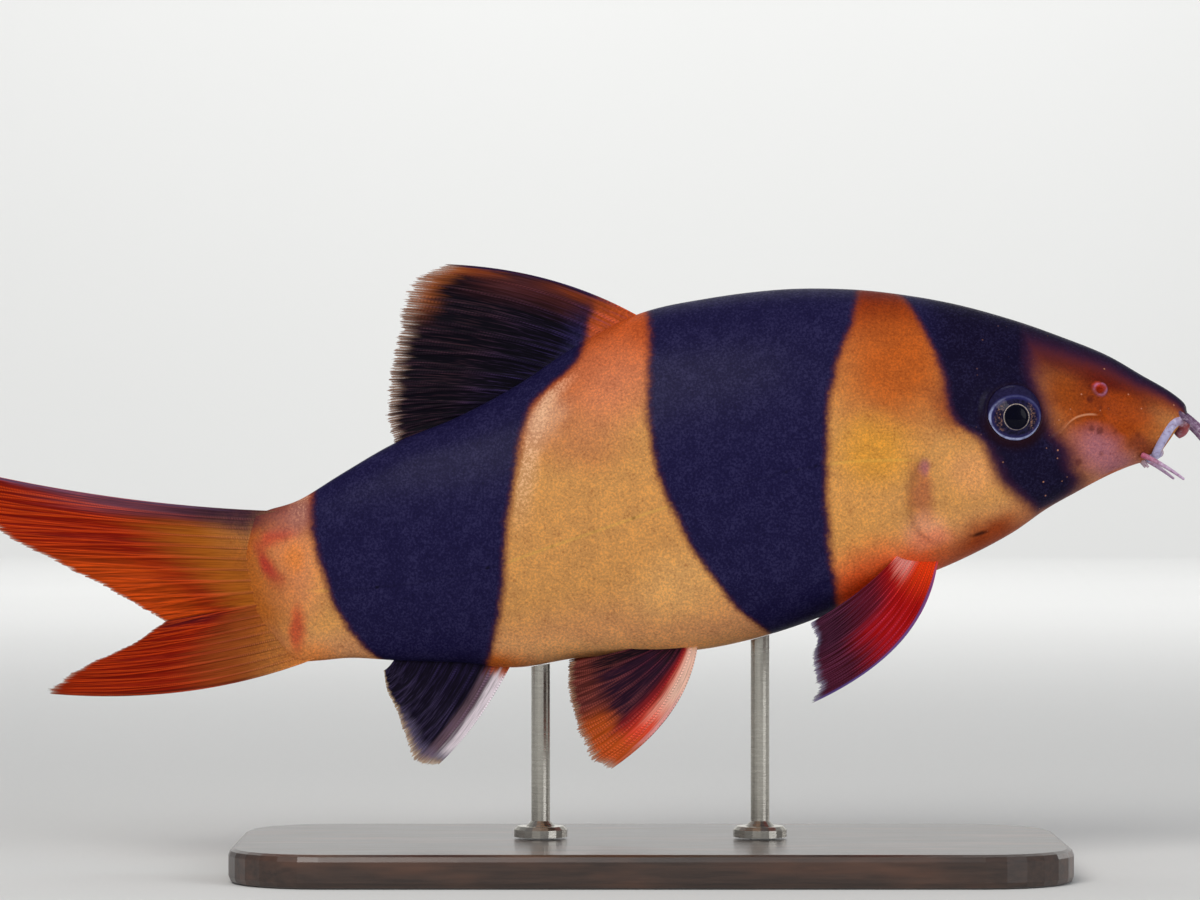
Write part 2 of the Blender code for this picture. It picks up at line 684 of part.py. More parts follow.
def finish_materials(pieces):
    """Every node gets a material of its own, in the fish's or the stand's plain colours."""
    looks = {
        "head": ((0.42, 0.16, 0.05), 0.45),
        "trunk": ((0.55, 0.29, 0.08), 0.45),
        "tail_stalk": ((0.58, 0.26, 0.12), 0.45),
        "gill_cover": ((0.62, 0.31, 0.10), 0.45),
        "eye": ((0.01, 0.01, 0.04), 0.10),
        "barbel": ((0.45, 0.25, 0.30), 0.40),
        "dorsal_fin": ((0.02, 0.015, 0.05), 0.50),
        "caudal_fin": ((0.55, 0.08, 0.01), 0.50),
        "anal_fin": ((0.02, 0.015, 0.05), 0.50),
        "pelvic_fin": ((0.35, 0.05, 0.04), 0.50),
        "pectoral_fin": ((0.65, 0.02, 0.01), 0.50),
        "stand_base": ((0.02, 0.02, 0.02), 0.40),
        "stand_rod": ((0.60, 0.58, 0.52), 0.30, 1.0),
    }
    for piece in pieces:
        look = next(values for key, values in looks.items() if piece.name.startswith(key))
        piece.data.materials.clear()
        piece.data.materials.append(material(piece.name, *look))


def collect(pieces):
    """Puts the finished nodes in the collection that is named for the object."""
    kept = bpy.data.collections.new("clown_loach")
    bpy.context.scene.collection.children.link(kept)
    for piece in pieces:
        for old in piece.users_collection:
            old.objects.unlink(piece)
        kept.objects.link(piece)


def main():
    for obj in list(bpy.data.objects):
        bpy.data.objects.remove(obj)
    near_body = body_solid("near_body", grow=GAP)
    fish = [*make_body(), *make_fins(near_body)]
    remove(near_body)
    pose_fish(fish)
    stand = make_stand()
    finish_materials(fish + stand)
    collect(fish + stand)


main()
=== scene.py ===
"""The looks of a clown loach model: its skin, fins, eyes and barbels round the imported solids, and its studio.

Places are in millimetres in the fish's own frame, as in the solids: x runs forward, y to its left side, and
z upward from the belly line. A finished piece is in metres, raised to the stand's height and bent with the
swimming spine. A colour is written as its screen values from 0 to 255, and a light's colour or a tint that
multiplies another colour as plain factors.
"""

import math
import random
import bmesh
import bpy
import numpy as np
from bpy.props import FloatProperty, FloatVectorProperty, IntProperty, PointerProperty
from mathutils import Matrix, Vector
from mathutils.bvhtree import BVHTree


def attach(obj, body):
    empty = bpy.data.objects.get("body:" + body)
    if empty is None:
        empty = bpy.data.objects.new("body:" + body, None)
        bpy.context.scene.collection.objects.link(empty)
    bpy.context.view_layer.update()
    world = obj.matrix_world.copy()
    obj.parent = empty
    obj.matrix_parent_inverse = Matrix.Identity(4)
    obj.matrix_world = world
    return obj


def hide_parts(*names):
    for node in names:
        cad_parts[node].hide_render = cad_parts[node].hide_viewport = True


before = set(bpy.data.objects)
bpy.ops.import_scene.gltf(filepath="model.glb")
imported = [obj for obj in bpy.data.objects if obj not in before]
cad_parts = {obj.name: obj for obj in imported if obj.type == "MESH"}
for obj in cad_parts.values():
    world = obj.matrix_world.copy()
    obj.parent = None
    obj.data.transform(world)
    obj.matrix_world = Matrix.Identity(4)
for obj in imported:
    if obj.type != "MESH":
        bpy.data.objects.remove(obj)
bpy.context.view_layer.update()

bl_info = {
    "name": "Clown loach model",
    "version": (1, 0, 0),
    "blender": (4, 5, 0),
    "location": "3D View > Sidebar > Clown loach",
    "description": "Dresses the solids of a clown loach model with skin, fins, eyes, barbels and a studio",
    "category": "Object",
}

MM = 0.001
SIDES = (("right", -1), ("left", 1))

# The body from the mouth to the tail root. Each row is a slanted cross-section:
# back x, back z, belly x, belly z, half width, sharpness of the back, sharpness of the belly, egg shape
BODY = (
    (80.3, 36.0, 75.5, 28.9, 2.9, 0.80, 0.80, 0.00),
    (79.8, 37.4, 73.4, 28.4, 3.7, 0.85, 0.75, 0.02),
    (77.4, 39.3, 70.8, 27.5, 4.7, 0.90, 0.75, 0.06),
    (73.6, 41.5, 67.5, 26.0, 5.8, 0.95, 0.72, 0.10),
    (68.2, 44.6, 63.8, 24.0, 7.0, 0.95, 0.70, 0.12),
    (61.5, 47.3, 59.2, 21.4, 8.2, 0.95, 0.70, 0.12),
    (54.7, 49.7, 54.0, 17.8, 9.1, 0.95, 0.70, 0.12),
    (46.5, 52.0, 47.2, 14.2, 10.2, 1.00, 0.70, 0.12),
    (38.5, 53.5, 39.5, 11.0, 10.9, 1.00, 0.70, 0.12),
    (30.0, 54.4, 30.0, 7.1, 11.3, 1.00, 0.72, 0.12),
    (20.0, 54.4, 20.0, 3.3, 11.5, 1.00, 0.75, 0.11),
    (9.0, 53.1, 9.0, 0.6, 11.1, 1.05, 0.80, 0.10),
    (-1.5, 50.8, -1.5, -0.2, 10.4, 1.10, 0.85, 0.09),
    (-11.0, 46.0, -11.0, -0.9, 9.2, 1.15, 0.90, 0.08),
    (-20.0, 40.0, -20.0, -2.3, 7.8, 1.10, 0.95, 0.06),
    (-29.0, 35.2, -28.5, -1.6, 6.5, 1.00, 1.00, 0.04),
    (-38.0, 31.5, -37.5, -1.3, 5.2, 0.95, 0.95, 0.02),
    (-46.0, 26.9, -44.5, -0.9, 4.1, 0.90, 0.90, 0.00),
    (-52.5, 22.9, -49.5, -1.3, 3.1, 0.85, 0.85, 0.00),
    (-57.0, 21.4, -52.3, -1.4, 2.2, 0.85, 0.85, 0.00),
    (-59.3, 20.6, -54.0, -0.6, 1.5, 0.80, 0.80, 0.00),
)

# How closely the skin's rings crowd at the head, which shares of them line the mouth and close the tail's
# end, how deep the mouth goes in, and how far the tail's end runs out to a wedge
HEAD_CROWDING = 1.25
MOUTH_SHARE = 0.035
TAIL_SHARE = 0.03
MOUTH_HOLLOW = 1.6
TAIL_WEDGE = 4.2

# The bend of the spine: how far the snout turns to the right side and the tail to the left
NECK_X = 30.0
SNOUT_SWAY = -1.8
SNOUT_REACH = 50.0
HIP_X = -20.0
TAIL_SWAY = 6.0
TAIL_REACH = 85.0

# Places on the head, in the side view
EYE = (53.9, 35.9)
NOSTRIL = (66.8, 39.3)
CHEEK = (49.0, 26.0)
SPINE_GROOVE = ((59.6, 32.0), (61.0, 33.2), (62.3, 34.6), (63.9, 35.4), (66.6, 35.5))
GILL_MIDDLE = (45.0, 23.8)
GILL_COVER = (
    (41.0, 29.6), (39.1, 25.9), (38.6, 21.9), (39.6, 18.6), (42.6, 16.9), (46.6, 17.6),
    (50.4, 20.2), (51.9, 23.8), (50.8, 28.0), (47.8, 30.9), (44.0, 31.5),
)
GILL_HIND = math.radians(186)
PECTORAL_ROOT = (41.6, 17.0)

# The lips, each from the right corner of the mouth to the middle, and the share by which a corner is thinner.
# The lobe hangs before the middle of the upper lip.
UPPER_LIP = ((75.0, 3.1, 29.1), (76.3, 3.5, 31.7), (77.7, 3.1, 34.0), (79.0, 1.8, 34.8), (79.5, 0.0, 34.2))
LOWER_LIP = ((74.0, 3.0, 28.8), (75.0, 2.4, 29.2), (75.9, 1.2, 29.8), (76.1, 0.0, 29.9))
LIP_THINNING = 0.38
LIP_LOBE = ((79.8, 0.0, 35.6), (80.0, 0.0, 34.5), (79.6, 0.0, 33.3), (78.7, 0.0, 32.4))
LIP_LOBE_RADII = (0.5, 0.8, 0.95, 0.9, 0.6)

# Directions that the lips never take, and that the barbels and the lobe never take
OFF_LIPS = (0.73, 0.0, -0.68)
OFF_BARBELS = (0.0, 1.0, 0.0)

# Barbels: root and tip on the right side (y as a distance from the middle), root radius, how the middle bows.
# Faint rings run round them all the way.
BARBELS = {
    "barbel_rostral_inner": ((78.6, 0.75, 36.6), (87.0, 1.9, 28.8), 0.47, (0.4, 0.2, 0.6)),
    "barbel_rostral_outer": ((78.0, 2.0, 36.4), (86.0, 5.2, 27.6), 0.47, (0.7, 0.6, 1.2)),
    "barbel_maxillary": ((73.2, 3.6, 29.6), (79.2, 6.6, 25.9), 0.44, (0.0, 0.6, 0.5)),
    "barbel_mandibular": ((73.4, 1.5, 29.3), (74.4, 2.1, 27.7), 0.42, (-0.2, 0.1, 0.0)),
}
RINGLETS = 24
RINGLET_SWELL = 0.035

# Fins in the side view, each line from the front ray to the hind ray. `y` is how far the front and the hind
# ray lie from the middle plane at root, middle and tips. `simple` is how many front rays don't branch.
FINS = {
    "dorsal_fin": {
        "rays": 11,
        "simple": 3,
        "root": ((0.8, 48.9), (-6.3, 45.9), (-12.9, 42.1), (-19.0, 37.7), (-23.8, 34.9)),
        "middle": ((-13.2, 57.7), (-18.6, 54.2), (-22.4, 48.4), (-26.0, 42.6), (-28.7, 37.8), (-30.6, 34.2)),
        "tips": (
            (-31.3, 58.2), (-35.9, 56.0), (-37.9, 51.6), (-38.9, 46.0),
            (-39.6, 40.6), (-39.8, 35.6), (-38.8, 31.2),
        ),
        "y": ((0.0, 0.0), (0.0, 0.0), (0.6, 0.0)),
    },
    "caudal_fin_upper": {
        "rays": 10,
        "simple": 1,
        "root": ((-55.2, 21.1), (-54.6, 16.7), (-54.0, 12.2), (-53.5, 7.9)),
        "middle": ((-81.0, 21.9), (-78.8, 19.4), (-76.5, 16.8), (-72.8, 13.5), (-69.0, 10.1), (-65.0, 6.0)),
        "tips": ((-106.8, 28.2), (-104.5, 23.2), (-98.6, 17.8), (-91.5, 14.1), (-82.5, 9.6), (-73.2, 4.5)),
        "y": ((0.0, 0.0), (-0.4, 0.0), (-1.2, 0.3)),
    },
    "caudal_fin_lower": {
        "rays": 9,
        "simple": 0,
        "root": ((-53.5, 7.9), (-52.4, 4.5), (-51.2, 1.5), (-50.2, -1.0)),
        "middle": ((-65.0, 6.0), (-69.0, 2.0), (-71.3, -0.9), (-71.7, -3.5), (-70.5, -6.0), (-69.0, -8.4)),
        "tips": ((-73.2, 4.5), (-78.3, 1.1), (-83.4, -1.2), (-87.6, -3.3), (-90.6, -5.2), (-92.2, -6.5)),
        "y": ((0.0, 0.0), (0.0, 0.8), (0.3, 3.4)),
    },
    "anal_fin": {
        "rays": 8,
        "simple": 2,
        "root": ((-20.2, -0.6), (-26.0, 0.2), (-32.0, 0.6), (-37.4, 0.7)),
        "middle": (
            (-25.4, -11.2), (-28.2, -10.4), (-31.5, -9.0),
            (-34.3, -7.3), (-36.8, -5.1), (-38.8, -2.3),
        ),
        "tips": ((-32.0, -17.1), (-35.2, -16.6), (-36.8, -13.2), (-38.0, -9.3), (-39.5, -6.0), (-40.0, -2.8)),
        "y": ((0.0, 0.0), (-0.2, 0.0), (-0.8, 0.0)),
    },
    "pelvic_fin": {
        "rays": 8,
        "simple": 1,
        "root": ((7.2, 2.0), (5.6, 2.0), (4.0, 1.9), (2.6, 1.8)),
        "middle": ((6.0, -9.4), (2.7, -9.4), (-0.6, -8.1), (-3.0, -5.8), (-4.5, -3.2), (-5.0, 0.2)),
        "tips": ((-6.3, -17.3), (-8.8, -16.2), (-10.7, -12.8), (-11.9, -9.2), (-12.5, -5.2), (-12.4, -1.4)),
        "y": ((2.7, 2.5), (5.4, 3.8), (8.6, 5.4)),
    },
    "pectoral_fin": {
        "rays": 14,
        "simple": 1,
        "root": ((42.9, 16.5), (42.0, 17.3), (40.6, 17.8), (39.0, 17.8)),
        "middle": ((42.6, 1.0), (39.4, 2.0), (36.2, 3.5), (34.1, 6.0), (33.5, 8.3), (34.3, 10.6)),
        "tips": (
            (22.6, -7.2), (23.9, -5.3), (23.7, -3.0), (23.3, -0.6),
            (23.9, 1.0), (24.1, 2.4), (22.9, 4.4),
        ),
        "y": ((4.6, 7.4), (11.6, 10.0), (17.0, 12.2)),
    },
}
PAIRED = ("pelvic_fin", "pectoral_fin")

# The far pectoral fin's length beside the near one, and how far every fin's sheet waves to each side
FAR_PECTORAL = 0.91
FIN_WAVE = 0.16

# The share of a fin's height in which its thick root runs out, and how much its rays and web thin to the tips
ROOT_SHARE = 0.16
RAY_THINNING = 0.55
WEB_THINNING = 0.4

# The share of a fin's height by which the web falls short between two rays, and the most for any one ray
WEB_NOTCH = 0.010
RAY_NOTCH = 0.022

# How the rays branch towards the tips: spread in ray spacings, where the fork starts and where it is widest
FORKS = ((0.25, 0.28, 0.95), (0.125, 0.55, 1.0))
LAST_FORK = (0.0625, 0.72, 1.05)

# How finely the pieces are made: the body that places are looked up on, lips, barbels, eyes and fins
COARSE_RINGS, COARSE_SIDES = 140, 96
LIP_POINTS = 33
LOBE_POINTS = 17
BARBEL_POINTS = 25
LIP_RINGS, LIP_SIDES = 96, 24
BARBEL_RINGS, BARBEL_SIDES = 96, 20
EYE_RINGS, EYE_SIDES = 72, 96
RAY_STEPS = 16
FIN_ROWS = 84

# The eye: its own map in millimetres, how far the iris looks down, its bright rim, its pupil, and the rim of
# the socket in the skin round it
EYE_MAP = 12.0
IRIS_DROP = 0.90
IRIS_REACH = (4.0, 3.3)
PUPIL = 1.78
SOCKET_RIM = 4.6

# The dark bands: x of the hind edge and of the front edge at each height z, from the back down
BANDS = (
    (
        ((56.0, 35.0), (53.2, 38.0), (49.6, 40.1), (45.1, 42.2), (40.7, 43.6), (34.7, 45.4), (31.8, 49.0),
         (29.5, 50.4), (26.1, 52.2), (23.4, 54.8), (21.0, 58.0), (16.0, 64.0)),
        ((56.0, 58.5), (48.7, 57.2), (42.9, 56.6), (39.9, 57.2), (33.0, 59.6), (30.3, 61.6), (27.4, 62.7),
         (25.8, 63.7), (24.1, 63.0), (22.6, 60.6), (21.0, 57.0), (16.0, 50.0)),
    ),
    (
        ((56.0, -0.4), (46.6, 0.0), (34.8, -0.1), (30.3, 0.6), (25.9, 1.6), (21.5, 3.5), (17.0, 5.8),
         (13.2, 8.1), (9.6, 10.7), (6.6, 13.3), (4.5, 16.0), (0.0, 22.0)),
        ((56.0, 31.5), (52.7, 30.6), (48.2, 29.3), (45.1, 28.0), (41.4, 26.9), (37.7, 26.3), (33.3, 26.0),
         (27.4, 25.7), (22.9, 25.8), (14.0, 26.6), (8.0, 27.6), (0.0, 28.0)),
    ),
    (
        ((56.0, -52.0), (26.0, -50.4), (21.3, -50.4), (18.3, -50.4), (14.6, -49.6), (10.9, -48.4),
         (7.9, -47.2), (4.9, -45.6), (1.9, -43.5), (-0.4, -41.2), (-1.4, -39.6), (-6.0, -37.0)),
        ((56.0, -9.0), (50.4, -9.4), (46.6, -10.0), (42.8, -11.8), (39.8, -15.3), (37.8, -17.4),
         (34.6, -18.8), (30.3, -19.8), (21.4, -21.2), (12.0, -22.0), (5.0, -22.8), (-3.0, -24.8)),
    ),
)
BAND_LOW_Z, BAND_HIGH_Z = -8.0, 58.0
BAND_LOW_X, BAND_HIGH_X = -70.0, 90.0
LATERAL_LINE = (
    (-60.0, 9.6), (-46.0, 9.4), (-25.0, 12.6), (-13.5, 16.4), (6.0, 23.0), (25.0, 28.0), (40.0, 28.8)
)

# The studio, in metres. The floor's profile is its front edge, the foot of the wall and the wall's top.
FLOOR_HALF_WIDTH = 3.0
FLOOR_PROFILE = ((-3.0, 0.0), (2.2, 0.0), (2.2, 3.0))
SWEEP_RADIUS = 0.6
CAMERA_PLACE = (-0.0075, -0.75, 0.0633)
CAMERA_LENS = 150.0
CAMERA_SENSOR = 36.0

# Name, place, aim, size, power and colour of each soft light
MODEL_MIDDLE = (0.0, 0.0, 0.06)
LIGHTS = (
    ("key", (-0.35, -0.90, 0.70), MODEL_MIDDLE, 0.60, 5.6, (1.0, 0.98, 0.95)),
    ("fill", (0.75, -0.70, 0.30), MODEL_MIDDLE, 0.60, 2.4, (0.95, 0.97, 1.0)),
    ("top", (-0.05, 0.40, 0.90), MODEL_MIDDLE, 0.60, 1.4, (1.0, 1.0, 1.0)),
    ("far side", (0.90, 0.80, 0.35), MODEL_MIDDLE, 0.50, 1.6, (1.0, 0.99, 0.97)),
    ("backdrop", (0.0, 1.00, 1.50), (0.0, 2.20, 0.90), 1.20, 28.0, (1.0, 1.0, 1.0)),
)
SURROUND = (0.94, 0.96, 1.0)
SURROUND_STRENGTH = 0.36

# Airbrushed patches of the hide, and one painted shadow in the gill slit: x, z, reach along x, reach along z,
# turn in degrees, colour, strength
PATCHES = (
    # Back, flank and belly
    (-4.0, 47.0, 14.0, 9.0, 20, (188, 80, 32), 0.80),
    (-6.0, 40.0, 12.0, 9.0, 45, (205, 122, 84), 0.75),
    (-15.5, 35.0, 6.5, 4.0, 55, (222, 172, 138), 0.60),
    (-10.0, 31.0, 10.0, 6.0, 0, (180, 112, 72), 0.60),
    (4.0, 10.0, 11.0, 8.0, 20, (226, 172, 108), 0.60),
    (36.0, 56.0, 20.0, 12.0, 0, (98, 16, 2), 0.95),
    (36.5, 42.0, 15.0, 13.5, 8, (174, 80, 22), 0.88),
    (33.0, 30.0, 9.0, 8.0, 0, (210, 146, 50), 0.75),
    (30.0, 18.0, 9.0, 12.0, 0, (212, 150, 80), 0.60),
    (35.0, 9.2, 20.0, 10.5, 15, (208, 56, 0), 1.00),
    (3.0, 0.0, 40.0, 4.2, 0, (234, 172, 112), 0.85),
    (-24.0, -2.5, 9.0, 4.0, 0, (206, 100, 14), 0.90),
    # Tail
    (-54.0, 13.0, 9.0, 13.0, 0, (208, 130, 88), 0.85),
    (-52.0, -1.0, 8.0, 4.5, 0, (208, 122, 58), 0.80),
    (-61.5, 7.0, 11.0, 20.0, 8, (164, 88, 28), 0.97),
    (-65.0, 22.8, 18.0, 6.2, 0, (54, 28, 46), 0.95),
    (-56.2, 17.1, 2.0, 4.8, -68, (184, 68, 52), 0.78),
    (-57.2, 12.8, 1.8, 4.9, 30, (172, 50, 46), 0.85),
    (-52.7, 3.7, 1.9, 5.2, 2, (180, 62, 44), 0.80),
    (-53.0, 14.0, 2.6, 3.4, 0, (222, 130, 56), 0.65),
    (-52.5, 20.6, 6.5, 3.8, 25, (142, 90, 96), 0.60),
    (-62.0, 21.2, 9.0, 4.6, -8, (60, 34, 54), 0.80),
    # Snout
    (67.5, 35.0, 17.0, 13.0, -30, (148, 58, 10), 0.97),
    (67.5, 42.8, 17.0, 8.0, -27, (82, 12, 10), 0.97),
    (58.5, 46.2, 9.0, 7.2, -24, (58, 10, 24), 0.95),
    (61.4, 38.4, 5.6, 3.4, -22, (136, 60, 14), 0.80),
    (71.0, 35.3, 6.5, 3.2, -35, (158, 66, 12), 0.75),
    (67.2, 29.4, 8.6, 5.0, -28, (164, 104, 118), 0.88),
    (73.2, 31.0, 3.0, 2.4, -40, (112, 44, 34), 0.70),
    (61.0, 19.4, 15.0, 3.4, 32, (156, 56, 4), 0.95),
    (68.0, 25.5, 10.0, 1.6, 24, (184, 86, 8), 0.92),
    # Cheek, throat, gill and nostril
    (48.0, 27.0, 6.5, 5.0, 0, (216, 152, 98), 0.75),
    (50.5, 16.8, 13.0, 5.4, 26, (142, 48, 0), 0.92),
    (39.7, 23.8, 2.8, 7.0, 6, (160, 84, 60), 0.70),
    (40.6, 18.6, 5.0, 3.6, 20, (218, 150, 124), 0.60),
    (40.2, 27.6, 1.2, 2.0, -20, (158, 88, 112), 0.65),
    (44.5, 36.5, 5.0, 7.0, 25, (132, 58, 34), 0.75),
    (66.8, 39.3, 1.4, 1.2, 0, (196, 62, 30), 0.90),
    # A painted shadow in the short gill slit at the throat.
    (48.6, 17.4, 2.2, 0.7, 12, (44, 14, 6), 0.90),
    (41.5, 17.0, 4.5, 2.6, 20, (226, 130, 96), 0.70),
)

# Each kind of fin: colours of its web, rays and fringe, joints along a ray, how clearly its rays and its fine
# hairs show, where its see-through fringe starts, how far its tips are torn, how far the hide runs out on its
# front and its hind ray, and the hide's height on the body there, from 0 at the belly to 1 on the back
FIN_PAINT = {
    "dorsal_fin": {
        "web": (9, 5, 18),
        "ray": (48, 38, 82),
        "ray_tip": (66, 40, 48),
        "fringe": (160, 122, 102),
        "joints": 60.0,
        "show": (0.20, 0.80),
        "fringe_from": 0.87,
        "torn": 0.13,
        "hide": (0.34, 0.09),
        "back": 0.95,
    },
    "caudal_fin": {
        "web": (136, 20, 2),
        "ray": (84, 40, 40),
        "ray_tip": (198, 68, 14),
        "fringe": (196, 138, 110),
        "joints": 124.0,
        "show": (0.95, 0.55),
        "fringe_from": 0.955,
        "torn": 0.05,
        "hide": (0.27, 0.29),
        "back": 0.5,
    },
    "anal_fin": {
        "web": (18, 11, 32),
        "ray": (48, 38, 80),
        "ray_tip": (70, 60, 92),
        "fringe": (196, 158, 112),
        "joints": 50.0,
        "show": (0.40, 0.60),
        "fringe_from": 0.88,
        "torn": 0.10,
        "hide": (0.07, 0.04),
        "back": 0.1,
    },
    "pelvic_fin": {
        "web": (40, 14, 36),
        "ray": (98, 38, 54),
        "ray_tip": (116, 56, 48),
        "fringe": (178, 138, 110),
        "joints": 50.0,
        "show": (0.65, 0.55),
        "fringe_from": 0.91,
        "torn": 0.09,
        "hide": (0.06, 0.03),
        "back": 0.1,
    },
    "pectoral_fin": {
        "web": (170, 4, 1),
        "ray": (228, 40, 12),
        "ray_tip": (104, 52, 82),
        "fringe": (128, 116, 150),
        "joints": 70.0,
        "show": (0.80, 0.45),
        "fringe_from": 0.94,
        "torn": 0.05,
        "hide": (0.05, 0.05),
        "back": 0.1,
    },
}

# Ends of a window that is open before, or beyond, the whole fin
BEFORE = (-2.0, -1.0)
BEYOND = (2.0, 3.0)
WHOLE = (*BEFORE, *BEYOND)


def until(low, high):
    """A window that closes between two places."""
    return (*BEFORE, low, high)


def past(low, high):
    """A window that opens between two places."""
    return (low, high, *BEYOND)


# Washes of colour on each fin, among them painted shadow under the belly on the anal and pelvic fins' roots:
# colour, strength, and the windows where it shows, from the front ray to the hind ray and from the root to the
# tips
FIN_WASHES = {
    "dorsal_fin": (
        ((78, 34, 34), 0.88, (0.00, 0.03, 0.10, 0.26), until(0.60, 0.90)),
        ((146, 62, 22), 0.75, (0.010, 0.030, 0.04, 0.10), until(0.30, 0.60)),
        ((150, 66, 26), 0.80, (0.004, 0.020, 0.05, 0.12), past(0.62, 0.80)),
        ((182, 96, 44), 0.85, until(0.20, 0.44), past(0.80, 0.94)),
        ((44, 28, 62), 0.90, until(0.008, 0.026), past(0.10, 0.20)),
    ),
    "caudal_fin_upper": (
        ((186, 104, 26), 0.88, past(0.08, 0.28), until(0.24, 0.60)),
        ((190, 74, 10), 0.60, past(0.45, 0.70), past(0.45, 0.70)),
        ((100, 66, 84), 0.80, until(0.08, 0.22), until(0.50, 0.85)),
        ((52, 28, 44), 0.85, until(0.10, 0.30), until(0.16, 0.42)),
        ((104, 86, 118), 0.80, until(0.010, 0.030), past(0.04, 0.12)),
    ),
    "caudal_fin_lower": (
        ((164, 82, 30), 0.85, WHOLE, until(0.26, 0.58)),
        ((84, 14, 24), 0.80, until(0.03, 0.12), past(0.40, 0.62)),
        ((96, 34, 20), 0.75, past(0.93, 0.985), WHOLE),
    ),
    "anal_fin": (
        ((248, 234, 242), 1.00, until(0.070, 0.14), (0.04, 0.14, 0.75, 1.00)),
        ((128, 100, 112), 0.70, (0.09, 0.14, 0.17, 0.25), (0.08, 0.18, 0.90, 1.20)),
        ((206, 92, 22), 0.95, until(0.10, 0.22), until(0.07, 0.18)),
        ((140, 128, 160), 0.40, until(0.45, 0.70), past(0.78, 0.92)),
        # Painted shadow under the belly along the root of the fin's hind part.
        ((9, 6, 17), 0.80, past(0.22, 0.32), until(0.05, 0.18)),
    ),
    "pelvic_fin": (
        ((178, 28, 14), 0.90, until(0.22, 0.42), WHOLE),
        ((240, 78, 52), 0.95, until(0.16, 0.30), WHOLE),
        ((255, 206, 184), 1.00, until(0.14, 0.28), until(0.34, 0.68)),
        ((240, 190, 190), 0.60, until(0.02, 0.06), (0.30, 0.50, 0.85, 1.00)),
        ((196, 84, 16), 0.85, until(0.44, 0.66), past(0.66, 0.84)),
        ((134, 58, 30), 0.40, past(0.50, 0.70), past(0.60, 0.82)),
        # The fin's dark root, darkened further by a painted shadow under the belly.
        ((24, 6, 14), 0.90, past(0.30, 0.40), until(0.08, 0.26)),
        ((16, 6, 14), 0.85, past(0.80, 0.90), until(0.60, 0.85)),
    ),
    "pectoral_fin": (
        ((240, 72, 16), 0.85, WHOLE, until(0.10, 0.38)),
        ((74, 10, 30), 0.90, past(0.36, 0.60), past(0.26, 0.52)),
        ((36, 7, 22), 0.92, WHOLE, past(0.56, 0.84)),
        ((236, 160, 150), 0.90, past(0.40, 0.60), until(0.20, 0.34)),
        ((104, 82, 150), 0.90, until(0.028, 0.06), past(0.06, 0.16)),
    ),
}


def paint(red, green, blue):
    """A colour's screen values as the shader's linear numbers."""
    shares = [value / 255 for value in (red, green, blue)]
    return tuple(s / 12.92 if s <= 0.04045 else ((s + 0.055) / 1.055) ** 2.4 for s in shares)


def length(name, description, default):
    """A length that a user can change."""
    return FloatProperty(name=name, description=description, default=default, unit="LENGTH")


def faces(name, description, default, fewest):
    """A number of faces that a user can change."""
    return IntProperty(name=name, description=description, default=default, min=fewest)


def tint(name, description, *screen):
    """A colour that a user can change."""
    return FloatVectorProperty(
        name=name, description=description, default=paint(*screen), subtype="COLOR", min=0.0, max=1.0
    )


class LoachShape(bpy.types.PropertyGroup):
    """Sizes of the fish's visible pieces."""

    belly_height: length("Belly height", "Height of the belly line over the floor", 0.033)
    skin_rings: faces("Skin rings", "Sections of the skin, mouth to tail", 290, 60)
    skin_sides: faces("Skin sides", "Faces round one section of the skin", 208, 48)
    eye_radius: length("Eye radius", "Radius of the eyeball across the line of sight", 0.0047)
    eye_depth: length("Eye depth", "Radius of the eyeball along the line of sight", 0.0031)
    eye_proud: length("Eye proud", "How far the eyeball stands out of the head", 0.0015)
    upper_lip: length("Upper lip", "Radius of the upper lip", 0.00086)
    lower_lip: length("Lower lip", "Radius of the lower lip", 0.00075)
    barbel_tip: length("Barbel tip", "Radius of a barbel at its tip", 0.00018)
    fin_root: length("Fin root", "Thickness of a fin's root", 0.002)
    fin_ray: length("Fin ray", "Thickness of a fin on a ray", 0.00042)
    fin_web: length("Fin web", "Thickness of a fin between two rays", 0.00024)


class LoachColours(bpy.types.PropertyGroup):
    """The main colours of the fish and its stand."""

    band: tint("Band", "Dark bands", 26, 22, 60)
    flank: tint("Flank", "Middle of the side", 200, 144, 84)
    back: tint("Back", "Top of the back", 176, 80, 38)
    belly: tint("Belly", "Underside", 212, 150, 104)
    barbel: tint("Barbel", "Tips of the barbels beside the mouth", 190, 158, 190)
    iris: tint("Iris", "Ring round the pupil", 214, 196, 178)
    wood: tint("Wood", "Base of the stand", 62, 42, 32)
    metal: tint("Metal", "Rods of the stand", 196, 192, 182)
    floor: tint("Floor", "Studio floor", 222, 222, 220)


def shape():
    return bpy.context.scene.loach_shape


def colours():
    return bpy.context.scene.loach_colours


def smooth(rows, at):
    """A smooth curve through evenly spaced rows, read at each share of its length in `at`."""
    rows = np.asarray(rows, float)
    place = np.clip(np.asarray(at, float), 0.0, 1.0) * (len(rows) - 1)
    first = np.minimum(place.astype(int), len(rows) - 2)
    f = (place - first)[..., None]
    padded = np.vstack([2 * rows[0] - rows[1], rows, 2 * rows[-1] - rows[-2]])
    a, b, c, d = (padded[first + k] for k in range(4))
    return 0.5 * (2 * b + (c - a) * f + (2 * a - 5 * b + 4 * c - d) * f**2 + (3 * b - a - 3 * c + d) * f**3)


def rise(value, low, high):
    """Smoothly from 0 at `low` to 1 at `high`, for numbers or arrays."""
    share = np.clip((np.asarray(value, float) - low) / (high - low), 0.0, 1.0)
    return share * share * (3 - 2 * share)


def bell(value, width):
    """1 at 0 and nearly 0 past twice the width, for numbers or arrays."""
    return np.exp(-((np.asarray(value, float) / width) ** 2))


def corners(bm):
    """Where a bmesh's corners lie, as an array."""
    return np.array([v.co for v in bm.verts])


def move_corners(bm, points):
    for v, point in zip(bm.verts, points):
        v.co = point


